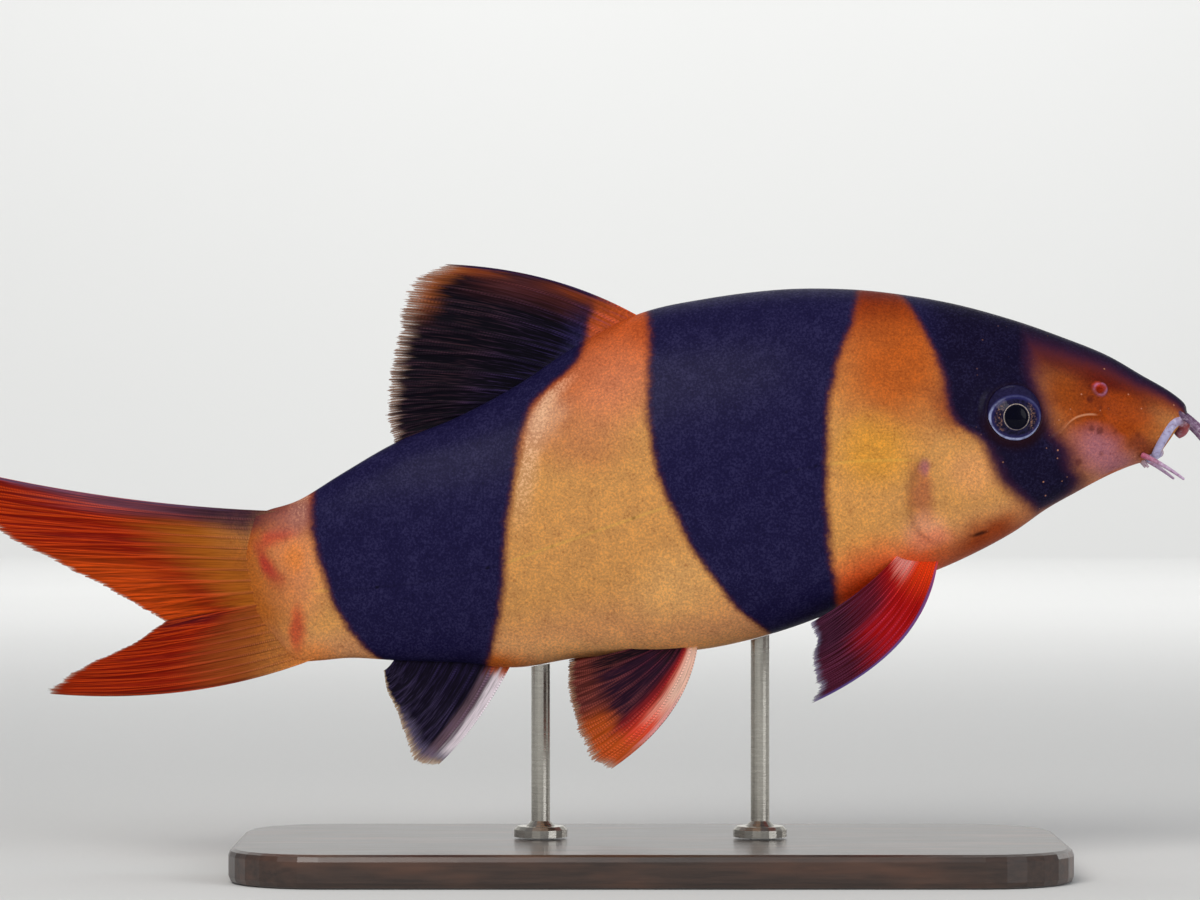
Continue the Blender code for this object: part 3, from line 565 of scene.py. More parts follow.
def store(bm, **values):
    """Keeps a number for each corner, which the materials read by its name."""
    for name, numbers in values.items():
        layer = bm.verts.layers.float.get(name) or bm.verts.layers.float.new(name)
        for v, number in zip(bm.verts, numbers):
            v[layer] = number


def map_flat(bm, name, read):
    """Gives each corner of each face its place on a flat map, read from its place in the bmesh."""
    layer = bm.loops.layers.uv.new(name)
    for face in bm.faces:
        for loop in face.loops:
            loop[layer].uv = read(loop.vert.co)


def ball(rings, sides):
    """A ball, with each corner's share of the way from pole to pole and its angle round the axis."""
    bm = bmesh.new()
    bmesh.ops.create_uvsphere(bm, u_segments=sides, v_segments=rings, radius=1.0)
    unit = corners(bm)
    return bm, np.arccos(np.clip(unit[:, 2], -1.0, 1.0)) / math.pi, np.arctan2(unit[:, 1], unit[:, 0])


def draw_out(bm, points):
    """Moves a ball's corners to their places and turns its faces outwards."""
    move_corners(bm, points)
    bmesh.ops.recalc_face_normals(bm, faces=bm.faces[:])
    bm.normal_update()


def body_points(along, angle):
    """Points of the straight body: `along` from mouth to tail, `angle` from the back over the right side."""
    rows = np.moveaxis(smooth(BODY, along), -1, 0)
    back_x, back_z, belly_x, belly_z, half, back_edge, belly_edge, egg = rows
    up = np.cos(angle)
    sharp = np.where(up > 0, back_edge, belly_edge)
    across = -np.sign(np.sin(angle)) * np.abs(np.sin(angle)) ** sharp
    x = (back_x + belly_x) / 2 + (back_x - belly_x) / 2 * up
    z = (back_z + belly_z) / 2 + (back_z - belly_z) / 2 * up
    return np.stack([x, half * across * (1 - egg * up), z], axis=-1)


def body_middle(along):
    """The middle of the body's section at a share of its length."""
    return body_points(np.full(1, along), np.full(1, math.pi / 2))[0] * (1, 0, 1)


def body_ball(rings, sides):
    """A ball moved out to the body's sections, with how far up each corner lies and how deep in the mouth."""
    bm, share, angle = ball(rings, sides)
    along = np.clip((share - MOUTH_SHARE) / (1 - MOUTH_SHARE - TAIL_SHARE), 0.0, 1.0) ** HEAD_CROWDING
    points = body_points(along, angle)
    mouth = np.clip(share / MOUTH_SHARE, 0.0, 1.0)[:, None]
    inward = np.array((-1.0, 0.0, 0.7)) / math.hypot(1.0, 0.7)
    in_mouth = body_middle(0.0) + (points - body_middle(0.0)) * mouth + inward * MOUTH_HOLLOW * (1 - mouth**2)
    tail = np.clip((1 - share) / TAIL_SHARE, 0.0, 1.0)[:, None]
    shrink = np.hstack([0.3 + 0.7 * tail, tail**1.5, 0.3 + 0.7 * tail]) * np.minimum(1.0, 6 * tail)
    wedge = np.array((TAIL_WEDGE, 0, 0)) * (1 - tail)
    at_tail = body_middle(1.0) + (points - body_middle(1.0)) * shrink - wedge
    draw_out(bm, np.where(mouth < 1, in_mouth, np.where(tail < 1, at_tail, points)))
    return bm, (1 + np.cos(angle)) / 2, 1 - mouth[:, 0]


class Flank:
    """Finds places on the straight body's surface beside a point of the side view."""

    tree = None
    look_from = 60.0

    @classmethod
    def find(cls, x, z, sign):
        """The surface point and the outward direction there, in millimetres."""
        if cls.tree is None:
            bm = body_ball(COARSE_RINGS, COARSE_SIDES)[0]
            cls.tree = BVHTree.FromBMesh(bm)
            bm.free()
        return cls.tree.ray_cast(Vector((x, sign * cls.look_from, z)), Vector((0, -sign, 0)))[:2]


def bend(x):
    """How far the spine lies to the left of the middle plane."""
    snout = np.where(x > NECK_X, SNOUT_SWAY * ((x - NECK_X) / SNOUT_REACH) ** 2, 0.0)
    return np.where(x < HIP_X, TAIL_SWAY * ((HIP_X - x) / TAIL_REACH) ** 2, snout)


def new_object(name, bm, material):
    """A bmesh becomes a smooth object of the scene."""
    for face in bm.faces:
        face.smooth = True
    mesh = bpy.data.meshes.new(name)
    bm.to_mesh(mesh)
    bm.free()
    mesh.materials.append(material)
    obj = bpy.data.objects.new(name, mesh)
    bpy.context.scene.collection.objects.link(obj)
    return obj


def finish_piece(name, bm, material, replaced):
    """A bmesh of the fish's frame becomes a piece in its place, riding on the model for its solids."""
    points = corners(bm)
    points[:, 1] += bend(points[:, 0])
    points[:, 2] += shape().belly_height / MM
    move_corners(bm, points * MM)
    obj = new_object(name, bm, material)
    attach(obj, "root")
    if replaced:
        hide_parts(*replaced)
    return obj


class Wiring:
    """Adds nodes to one node tree and links them."""

    def __init__(self, tree):
        self.tree = tree

    def feed(self, socket, value):
        """Links another node's output to a socket, or sets the socket's own value."""
        if isinstance(value, bpy.types.NodeSocket):
            self.tree.links.new(value, socket)
        elif socket.type == "RGBA" and hasattr(value, "__len__"):
            socket.default_value = (*value[:3], 1.0)
        else:
            socket.default_value = value

    def node(self, kind, inputs=(), **settings):
        """A new node with its settings, its inputs fed in their order or by their names."""
        made = self.tree.nodes.new(kind)
        for name, value in settings.items():
            setattr(made, name, value)
        for place, value in inputs.items() if isinstance(inputs, dict) else enumerate(inputs):
            self.feed(made.inputs[place], value)
        return made

    def math(self, operation, *values):
        return self.node("ShaderNodeMath", values, operation=operation).outputs[0]

    def times(self, value, *others):
        for other in others:
            value = self.math("MULTIPLY", value, other)
        return value

    def plus(self, value, other):
        return self.math("ADD", value, other)

    def minus(self, value, other):
        return self.math("SUBTRACT", value, other)

    def times_plus(self, value, factor, extra):
        return self.math("MULTIPLY_ADD", value, factor, extra)

    def vector(self, operation, *values):
        made = self.node("ShaderNodeVectorMath", values, operation=operation)
        return made.outputs["Value" if operation == "LENGTH" else "Vector"]

    def join(self, x, y, z=0.0):
        return self.node("ShaderNodeCombineXYZ", (x, y, z)).outputs[0]

    def split(self, vector):
        return self.node("ShaderNodeSeparateXYZ", (vector,)).outputs

    def mix(self, share, under, over, way="MIX"):
        inputs = {0: share, 6: under, 7: over}
        return self.node("ShaderNodeMix", inputs, data_type="RGBA", blend_type=way).outputs[2]

    def lay(self, under, screen, *masks):
        """A colour of the given screen values laid over another where all the masks are 1."""
        return self.mix(self.times(*masks), under, paint(*screen))

    def between(self, value, low, high, from_value=0.0, to_value=1.0):
        """Smoothly from one value to another while the input goes from low to high."""
        inputs = (value, low, high, from_value, to_value)
        return self.node("ShaderNodeMapRange", inputs, interpolation_type="SMOOTHSTEP").outputs[0]

    def window(self, value, edges):
        """1 between the two middle edges and 0 outside the outer two."""
        return self.times(self.between(value, *edges[:2]), self.between(value, *edges[2:], 1.0, 0.0))

    def noise(self, place, scale, detail=2.0, roughness=0.5, stretch=None):
        if stretch:
            place = self.vector("MULTIPLY", place, stretch)
        inputs = {"Vector": place, "Scale": scale, "Detail": detail, "Roughness": roughness}
        return self.node("ShaderNodeTexNoise", inputs).outputs["Fac"]

    def drift(self, place, scale, reach):
        """The place moved about a little, so that edges wander."""
        cloud = self.node("ShaderNodeTexNoise", {"Vector": place, "Scale": scale}).outputs["Color"]
        away = self.vector("SUBTRACT", cloud, (0.5, 0.5, 0.5))
        return self.vector("ADD", place, self.vector("MULTIPLY", away, (reach, reach, reach)))

    def cells(self, place, scale):
        """How far the place lies from the nearest of many scattered dots."""
        return self.node("ShaderNodeTexVoronoi", {"Vector": place, "Scale": scale}).outputs["Distance"]

    def attribute(self, name):
        """A number that the mesh keeps for each corner."""
        return self.node("ShaderNodeAttribute", attribute_name=name).outputs["Fac"]

    def flat_map(self, name):
        return self.node("ShaderNodeUVMap", uv_map=name).outputs[0]

    def ramp(self, value, stops):
        """A ramp through (place, colour) stops."""
        made = self.node("ShaderNodeValToRGB", (value,))
        made.color_ramp.interpolation = "EASE"
        elements = made.color_ramp.elements
        while len(elements) < len(stops):
            elements.new(0.5)
        for element, (place, colour) in zip(elements, stops):
            element.position = place
            element.color = (*colour[:3], 1.0)
        return made.outputs[0]

    def curve(self, value, points):
        """A smooth curve through points whose numbers run from 0 to 1."""
        made = self.node("ShaderNodeFloatCurve", {"Value": value})
        line = made.mapping.curves[0]
        while len(line.points) < len(points):
            line.points.new(0.5, 0.5)
        for point, place in zip(line.points, sorted(points)):
            point.location = place
        made.mapping.update()
        return made.outputs[0]

    def bump(self, height, depth, strength):
        inputs = {"Strength": strength, "Distance": depth, "Height": height}
        return self.node("ShaderNodeBump", inputs).outputs[0]

    def use(self, name, **values):
        """Places a shared group, built the first time that it is asked for, and returns its outputs."""
        group = bpy.data.node_groups.get(name) or GROUPS[name](name)
        return self.node("ShaderNodeGroup", values, node_tree=group).outputs


def shared_group(name, inputs, outputs):
    """A new shader node group with sockets of the named kinds: its wiring, its inputs and its outputs."""
    tree = bpy.data.node_groups.new(name, "ShaderNodeTree")
    for way, sockets in (("INPUT", inputs), ("OUTPUT", outputs)):
        for label, kind in sockets.items():
            tree.interface.new_socket(label, in_out=way, socket_type=f"NodeSocket{kind}")
    w = Wiring(tree)
    return w, w.node("NodeGroupInput").outputs, w.node("NodeGroupOutput").inputs


def new_material(name, roughness, coat=0.0, coat_roughness=0.1, metallic=0.0, specular=0.5):
    """A material with one Principled shader: the material, its wiring and the shader's inputs."""
    material = bpy.data.materials.new(name)
    material.use_nodes = True
    shader = material.node_tree.nodes["Principled BSDF"].inputs
    shader["Roughness"].default_value = roughness
    shader["Coat Weight"].default_value = coat
    shader["Coat Roughness"].default_value = coat_roughness
    shader["Metallic"].default_value = metallic
    shader["Specular IOR Level"].default_value = specular
    return material, Wiring(material.node_tree), shader


def build_fish_place(name):
    """Where a point lies in the fish's frame, in millimetres."""
    w, _, out = shared_group(name, {}, {"Place": "Vector"})
    inputs = {
        "Vector": w.node("ShaderNodeTexCoord").outputs["Object"],
        "Location": (0.0, 0.0, -shape().belly_height / MM),
        "Scale": (1 / MM, 1 / MM, 1 / MM),
    }
    w.feed(out["Place"], w.node("ShaderNodeMapping", inputs).outputs[0])
    return w.tree


def band_edge(w, height, points):
    """The x of a band's edge at a height that runs from 0 to 1."""
    tall, long = BAND_HIGH_Z - BAND_LOW_Z, BAND_HIGH_X - BAND_LOW_X
    share = w.curve(height, [((z - BAND_LOW_Z) / tall, (x - BAND_LOW_X) / long) for z, x in points])
    return w.times_plus(share, long, BAND_LOW_X)


def build_bands(name):
    """How deep a point lies in one of the dark bands, in millimetres, less than 0 outside."""
    w, into, out = shared_group(name, {"Place": "Vector", "Back": "Float"}, {"Depth": "Float"})
    parts = w.split(into["Place"])
    wobble = w.noise(into["Place"], 0.16, 3.0, 0.6, stretch=(1, 0, 1))
    fine = w.noise(into["Place"], 1.7, 2.0, 0.6)
    shift = w.times_plus(w.minus(wobble, 0.5), 1.6, w.times(w.minus(fine, 0.5), 0.9))
    x = w.plus(parts["X"], shift)
    height = w.math("DIVIDE", w.minus(parts["Z"], BAND_LOW_Z), BAND_HIGH_Z - BAND_LOW_Z)
    snout_ridge = w.plus(w.times_plus(into["Back"], 26.0, -23.6), w.times(shift, 0.8))
    depth = w.math("MINIMUM", snout_ridge, w.times(w.minus(parts["X"], 52.0), 0.4))
    for hind, front in BANDS:
        from_hind = w.minus(x, band_edge(w, height, hind))
        to_front = w.minus(band_edge(w, height, front), x)
        depth = w.math("MAXIMUM", depth, w.math("MINIMUM", from_hind, to_front))
    w.feed(out["Depth"], depth)
    return w.tree


def build_grain(name):
    """Fine pigment grains, tiny scales and painted glints on them: a light fleck with the glints in it, a dark
    fleck and a height.
    """
    outputs = dict.fromkeys(("Light", "Dark", "Height"), "Float")
    w, into, out = shared_group(name, {"Place": "Vector"}, outputs)
    grains = w.noise(into["Place"], 2.9, 3.0, 0.68)
    clouds = w.noise(into["Place"], 0.35, 3.0, 0.6)
    scales = w.cells(w.vector("MULTIPLY", into["Place"], (1.0, 1.0, 1.25)), 2.1)
    # Painted glints: bright specks where the tiny scales catch the light, laid into the light fleck.
    painted_glints = w.between(w.cells(into["Place"], 1.9), 0.12, 0.20, 1.0, 0.0)
    light = w.between(w.times_plus(clouds, 0.35, grains), 0.62, 0.86)
    w.feed(out["Light"], w.math("MAXIMUM", light, w.times(painted_glints, w.between(clouds, 0.42, 0.66))))
    w.feed(out["Dark"], w.between(w.times_plus(clouds, 0.3, grains), 0.62, 0.42))
    w.feed(out["Height"], w.times_plus(scales, -0.8, w.times(grains, 0.5)))
    return w.tree


def fine_line(w, parts, line, widths, reach):
    """1 on a fine line of the side view, given from its hind end, and 0 beside it."""
    low, span = line[0][0], line[-1][0] - line[0][0]
    share = w.math("DIVIDE", w.minus(parts["X"], low), span)
    height = w.curve(share, [((x - low) / span, z / BAND_HIGH_Z) for x, z in line])
    away = w.math("ABSOLUTE", w.minus(parts["Z"], w.times(height, BAND_HIGH_Z)))
    return w.times(w.between(away, *widths, 1.0, 0.0), w.window(parts["X"], reach))


def lay_patches(w, colour, place):
    """The airbrushed patches over the hide's own colour."""
    for x, z, reach_x, reach_z, turn, screen, strength in PATCHES:
        inputs = {
            "Vector": place,
            "Location": (x, 0.0, z),
            "Rotation": (0.0, -math.radians(turn), 0.0),
            "Scale": (reach_x, 1000.0, reach_z),
        }
        away = w.vector("LENGTH", w.node("ShaderNodeMapping", inputs, vector_type="TEXTURE").outputs[0])
        colour = w.lay(colour, screen, w.between(away, 0.15, 1.0, strength, 0.0))
    return colour


def build_hide(name):
    """The colour of the fish's hide, with its patches, marks and bands."""
    w, into, out = shared_group(name, {"Place": "Vector", "Back": "Float"}, {"Color": "Color"})
    place, back, tints = into["Place"], into["Back"], colours()
    parts = w.split(place)
    x, z = parts["X"], parts["Z"]
    grain = w.use("grain", Place=place)
    light, dark = grain["Light"], grain["Dark"]
    depth = w.use("bands", Place=place, Back=back)["Depth"]
    colour = w.ramp(back, ((0.0, tints.belly), (0.25, tints.flank), (0.62, tints.flank), (0.97, tints.back)))
    colour = lay_patches(w, colour, w.drift(place, 0.22, 3.0))
    # Light flecks lighten the hide: pale pigment grains, with painted glints of the scales among them.
    colour = w.mix(w.times(light, 0.60), colour, (1.7, 1.52, 1.1), way="MULTIPLY")
    colour = w.mix(w.times(dark, 0.68), colour, (0.64, 0.42, 0.38), way="MULTIPLY")
    freckles = w.between(w.cells(w.vector("ADD", place, (31.0, 17.0, 5.0)), 0.30), 0.09, 0.24, 1.0, 0.0)
    colour = w.lay(colour, (66, 14, 14), freckles, w.between(x, 58.0, 64.0, 0.0, 0.55))
    halo = w.times(w.window(depth, (-4.5, -1.8, -1.4, -0.5)), w.between(light, 0.0, 0.6, 0.16, 0.55))
    on_flank = w.times(w.between(x, -14.0, -8.0, 1.0, 0.0), w.window(z, (16, 28, 38, 44)))
    colour = w.lay(colour, (250, 208, 170), halo, on_flank)
    groove = fine_line(w, parts, SPINE_GROOVE, (0.05, 0.24), (60.0, 63.6, 65.4, 66.6))
    colour = w.lay(colour, (214, 150, 112), groove, 0.65)
    line = fine_line(w, parts, LATERAL_LINE, (0.10, 0.32), (-53.0, -48.0, 36.0, 42.0))
    dots = w.between(w.cells(w.join(x, 0.0), 0.7), 0.12, 0.30, 1.0, 0.0)
    colour = w.lay(colour, (226, 184, 84), line, 0.25)
    colour = w.lay(colour, (92, 58, 30), line, dots, 0.5)
    flecks = w.between(x, 38.0, 48.0, 0.36, 0.20)
    navy = w.lay(tints.band, (17, 11, 38), w.between(x, 38.0, 46.0))
    # Light specks in the bands: pale pigment, with painted glints of the scales among them.
    navy = w.lay(navy, (66, 62, 104), light, flecks)
    navy = w.lay(navy, (12, 9, 30), dark, flecks)
    navy = w.lay(navy, (5, 4, 16), line, w.times_plus(dots, 0.6, 0.10))
    depth = w.math("DIVIDE", depth, w.between(x, 40.0, 58.0, 1.0, 2.8))
    colour = w.lay(colour, (112, 48, 40), w.between(depth, -1.4, -0.1, 0.0, 0.60))
    colour = w.lay(colour, (62, 28, 52), w.between(depth, -0.8, 0.4))
    colour = w.mix(w.between(depth, -0.3, 0.9), colour, navy)
    pores = w.between(w.cells(place, 0.55), 0.04, 0.10, 1.0, 0.0)
    colour = w.lay(colour, (208, 142, 110), pores, w.between(x, 44.0, 60.0, 0.0, 0.66))
    w.feed(out["Color"], colour)
    return w.tree


def build_rays(name):
    """Branched, jointed fin rays on a fin's own map, where u runs over the rays and v out to the tips."""
    labels = ("Along", "Out", "Ray", "Joint", "Streak", "Hairs", "Bristle")
    inputs = {"Map": "Vector", "Rays": "Float", "Simple": "Float", "Joints": "Float"}
    w, into, outs = shared_group(name, inputs, dict.fromkeys(labels, "Float"))
    parts = w.split(into["Map"])
    along, out = parts["X"], parts["Y"]
    ray_at = w.times(along, w.minus(into["Rays"], 1.0))
    forked = w.math("GREATER_THAN", ray_at, w.minus(into["Simple"], 0.5))
    fold = w.math("PINGPONG", ray_at, 0.5)
    for spread, low, high in (*FORKS, LAST_FORK):
        fold = w.math("ABSOLUTE", w.minus(fold, w.times(w.between(out, low, high, 0.0, spread), forked)))
    ray = w.between(w.math("DIVIDE", fold, w.times_plus(out, -0.17, 0.21)), 0.25, 1.0, 1.0, 0.0)
    joint = w.math("PINGPONG", w.times_plus(out, into["Joints"], w.times(fold, 1.5)), 0.5)
    joint = w.times(w.between(joint, 0.05, 0.35), ray)
    streak = w.noise(w.join(w.times(ray_at, 3.2), w.times(out, 2.2)), 1.0, 4.0, 0.62)
    hairs = w.noise(w.join(w.times(ray_at, 13.0), w.times(out, 4.0), 3.7), 1.0, 3.0, 0.7)
    bristle = w.math("PINGPONG", w.times_plus(ray_at, 16.0, w.times(hairs, 1.6)), 1.0)
    for label, value in zip(labels, (along, out, ray, joint, streak, hairs, bristle)):
        w.feed(outs[label], value)
    return w.tree


GROUPS = {
    "fish place": build_fish_place,
    "bands": build_bands,
    "grain": build_grain,
    "hide": build_hide,
    "rays": build_rays,
}


def skin_material():
    """Wet satin hide with its markings, with painted shade in its creases and deep in its mouth."""
    material, w, shader = new_material("skin", 0.42, coat=0.04, coat_roughness=0.22, specular=0.03)
    place = w.use("fish place")["Place"]
    grain = w.use("grain", Place=place)
    slow = w.noise(place, 0.9, 3.0, 0.55)
    colour = w.use("hide", Place=place, Back=w.attribute("back"))["Color"]
    colour = w.lay(colour, (176, 126, 178), w.attribute("pale"), w.between(slow, 0.38, 0.60, 0.16, 0.55))
    # Painted shade in the head's slits and creases.
    colour = w.lay(colour, (34, 10, 14), w.attribute("crease"), 0.80)
    # Painted shade deep in the mouth.
    colour = w.lay(colour, (38, 10, 14), w.attribute("hollow"))
    w.feed(shader["Base Color"], colour)
    w.feed(shader["Roughness"], w.times_plus(grain["Light"], -0.12, 0.46))
    w.feed(shader["Normal"], w.bump(w.times_plus(slow, 1.2, grain["Height"]), 0.03 * MM, 0.8))
    return material


def feeler_material(name, root, tip):
    """Soft mottled skin that changes from one colour to another along its length."""
    material, w, shader = new_material(name, 0.36, coat=0.10, coat_roughness=0.18, specular=0.25)
    place = w.use("fish place")["Place"]
    mottle = w.noise(place, 1.6, 3.0, 0.6)
    along = w.times_plus(mottle, 0.25, w.attribute("reach"))
    colour = w.mix(w.between(along, 0.10, 0.70), root, tip)
    colour = w.lay(colour, (236, 222, 238), w.between(mottle, 0.50, 0.75, 0.0, 0.5))
    colour = w.lay(colour, (110, 60, 84), w.between(mottle, 0.45, 0.30, 0.0, 0.5))
    w.feed(shader["Base Color"], colour)
    w.feed(shader["Normal"], w.bump(w.noise(place, 5.0), 0.05 * MM, 0.7))
    return material


def eye_material():
    """A dark ball under a clear film, with a lit rim, a flecked iris and a thin ring round the pupil."""
    material, w, shader = new_material("eye", 0.25, coat=0.14, coat_roughness=0.03, specular=0.03)
    centred = w.vector("SUBTRACT", w.flat_map("eye"), (0.5, 0.5, 0.0))
    flat = w.vector("MULTIPLY", centred, (EYE_MAP, EYE_MAP, 1.0))
    lowered = w.vector("ADD", flat, (0.0, IRIS_DROP, 0.0))
    rim = w.vector("LENGTH", w.vector("DIVIDE", lowered, (*IRIS_REACH, 1.0)))
    pupil = w.vector("LENGTH", w.vector("DIVIDE", lowered, (PUPIL, PUPIL, 1.0)))
    parts = w.split(flat)
    flecks = w.noise(flat, 2.4, 4.0, 0.7)
    colour = w.lay(paint(27, 22, 54), (46, 42, 80), w.between(flecks, 0.35, 0.7, 0.0, 0.6))
    inner = w.lay(paint(12, 10, 30), (36, 32, 68), w.between(flecks, 0.35, 0.62, 0.0, 0.8))
    gold = w.times(w.window(pupil, (1.15, 1.28, 1.50, 1.95)), w.between(flecks, 0.48, 0.64, 0.0, 0.70))
    at_sides = w.between(w.math("ABSOLUTE", parts["X"]), 1.5, 2.4)
    inner = w.lay(inner, (160, 116, 84), gold, at_sides)
    colour = w.mix(w.between(rim, 0.88, 0.96, 1.0, 0.0), colour, inner)
    colour = w.lay(colour, (44, 42, 98), w.window(rim, (0.74, 0.90, 0.96, 1.08)), 0.7)
    glint = w.window(rim, (0.88, 0.94, 0.96, 1.02))
    at_bottom = w.between(w.times_plus(parts["X"], 0.35, parts["Y"]), 1.2, -2.2, 0.10, 0.95)
    broken = w.between(w.noise(flat, 0.9, 3.0), 0.30, 0.60, 0.35)
    colour = w.lay(colour, (176, 184, 226), glint, at_bottom, broken)
    ring = w.times(w.window(pupil, (1.02, 1.05, 1.07, 1.12)), w.between(parts["Y"], -3.0, -1.4, 0.25, 0.75))
    colour = w.mix(w.times(ring, w.between(flecks, 0.35, 0.60, 0.45)), colour, colours().iris)
    colour = w.lay(colour, (2, 2, 18), w.between(pupil, 0.96, 1.02, 1.0, 0.0))
    w.feed(shader["Base Color"], colour)
    return material


def fin_material(name, paints):
    """A thin membrane with branched rays, washed with its own colours, frayed and see-through at its tips."""
    material, w, shader = new_material(name, 0.45, specular=0.05)
    counts = {"Rays": FINS[name]["rays"], "Simple": FINS[name]["simple"], "Joints": paints["joints"]}
    rays = w.use("rays", Map=w.flat_map("fin"), **counts)
    along, out, streak, hairs = (rays[label] for label in ("Along", "Out", "Streak", "Hairs"))
    hide = w.use("hide", Place=w.use("fish place")["Place"], Back=paints["back"])["Color"]
    loose_out = w.plus(out, w.times_plus(streak, 0.30, -0.15))
    loose_along = w.plus(along, w.times_plus(streak, 0.10, -0.05))
    colour = paint(*paints["web"])
    for screen, strength, across, outward in FIN_WASHES[name]:
        colour = w.lay(colour, screen, w.window(loose_along, across), w.window(loose_out, outward), strength)
    root = w.math("DIVIDE", w.times_plus(streak, -0.05, out), w.between(along, 0.05, 0.55, *paints["hide"]))
    root = w.between(root, 0.3, 1.0, 1.0, 0.0)
    colour = w.mix(root, colour, hide)
    grown = w.times_plus(root, -0.25, 1.0)
    line = w.lay(paint(*paints["ray"]), paints["ray_tip"], w.between(out, 0.15, 0.65))
    line = w.mix(0.35, line, colour)
    ray_show, hair_show = paints["show"]
    clear = w.times(w.between(streak, 0.25, 0.75, ray_show, 0.4 * ray_show), grown)
    colour = w.mix(w.times(rays["Ray"], clear), colour, line)
    colour = w.mix(w.times(w.between(hairs, 0.50, 0.68, 0.0, hair_show), grown), colour, line)
    shade = w.times(w.between(rays["Joint"], 0.0, 1.0, 0.85, 1.45), w.between(hairs, 0.28, 0.72, 0.58, 1.40))
    colour = w.mix(grown, colour, shade, way="MULTIPLY")
    start = paints["fringe_from"]
    loose = w.times_plus(streak, 0.50, w.times_plus(hairs, 0.26, -0.38))
    fringe = w.between(w.plus(out, w.times(loose, 4 * (1 - start))), start, 1.0)
    w.feed(shader["Base Color"], w.lay(colour, paints["fringe"], fringe, 0.85))
    gaps = w.times(fringe, w.between(rays["Bristle"], 0.45, 0.75, 0.15, 0.85))
    torn = w.times_plus(w.minus(hairs, 0.36), paints["torn"], out)
    w.feed(shader["Alpha"], w.times(w.minus(1.0, gaps), w.between(torn, 0.995, 1.005, 1.0, 0.0)))
    height = w.times_plus(rays["Joint"], 0.4, w.plus(rays["Ray"], hairs))
    w.feed(shader["Normal"], w.bump(height, 0.05 * MM, 0.7))
    return material


def wood_material():
    """Dark stained wood with its grain along the base, under a satin varnish."""
    material, w, shader = new_material("stand wood", 0.36, coat=0.35, coat_roughness=0.16)
    place = w.use("fish place")["Place"]
    fibres = w.noise(place, 1.0, 5.0, 0.65, stretch=(0.09, 1.7, 1.7))
    figure = w.noise(place, 0.12, 3.0, 0.6, stretch=(0.35, 1.6, 1.6))
    stain = colours().wood
    dark = w.mix(1.0, stain, (0.45, 0.42, 0.40), way="MULTIPLY")
    pale = w.mix(1.0, stain, (2.4, 2.0, 1.7), way="MULTIPLY")
    colour = w.mix(w.between(fibres, 0.30, 0.70), dark, stain)
    w.feed(shader["Base Color"], w.mix(w.between(figure, 0.45, 0.75, 0.0, 0.7), colour, pale))
    w.feed(shader["Roughness"], w.times_plus(fibres, 0.2, 0.28))
    w.feed(shader["Normal"], w.bump(fibres, 0.06 * MM, 0.5))
    return material


def metal_material():
    """Turned metal with fine marks round the rod."""
    material, w, shader = new_material("stand metal", 0.28, metallic=1.0)
    turning = w.noise(w.use("fish place")["Place"], 1.0, 3.0, 0.6, stretch=(0.3, 0.3, 9.0))
    colour = w.lay(colours().metal, (140, 134, 126), w.between(turning, 0.3, 0.7, 0.0, 0.35))
    w.feed(shader["Base Color"], colour)
    w.feed(shader["Roughness"], w.times_plus(turning, 0.22, 0.18))
    w.feed(shader["Normal"], w.bump(turning, 0.02 * MM, 0.4))
    return material


def floor_material():
    """Pale matt paint, very slightly clouded."""
    material, w, shader = new_material("floor", 0.75, specular=0.2)
    clouds = w.noise(w.node("ShaderNodeTexCoord").outputs["Object"], 3.0, 3.0)
    colour = w.lay(colours().floor, (200, 200, 196), w.between(clouds, 0.3, 0.7, 0.0, 0.06))
    w.feed(shader["Base Color"], colour)
    return material


def axis_distance(points, middle, outward):
    """How far each point lies from the line that leaves the head at a place."""
    offset = points - np.array(middle)
    outward = np.array(outward)
    return np.linalg.norm(offset - np.outer(offset @ outward, outward), axis=1)


def line_distance(points, line):
    """How far each point of the side view lies from a line through the given places."""
    away = np.full(len(points), np.inf)
    for start, end in zip(np.array(line), np.array(line)[1:]):
        run = end - start
        share = np.clip((points - start) @ run / (run @ run), 0.0, 1.0)
        away = np.minimum(away, np.linalg.norm(points - start - share[:, None] * run, axis=1))
    return away


def past_gill_cover(points):
    """How far each point of the side view lies outside the gill cover's edge, and how far behind it."""
    edge = smooth(GILL_COVER + GILL_COVER[:1], np.linspace(0, 1, 89)) - GILL_MIDDLE
    bearing = np.arctan2(edge[:, 1], edge[:, 0])
    order = np.argsort(bearing)
    offset = points - GILL_MIDDLE
    own = np.arctan2(offset[:, 1], offset[:, 0])
    reach = np.interp(own, bearing[order], np.linalg.norm(edge, axis=1)[order], period=2 * math.pi)
    return np.linalg.norm(offset, axis=1) - reach, rise(np.cos(own - GILL_HIND), 0.15, 0.9)


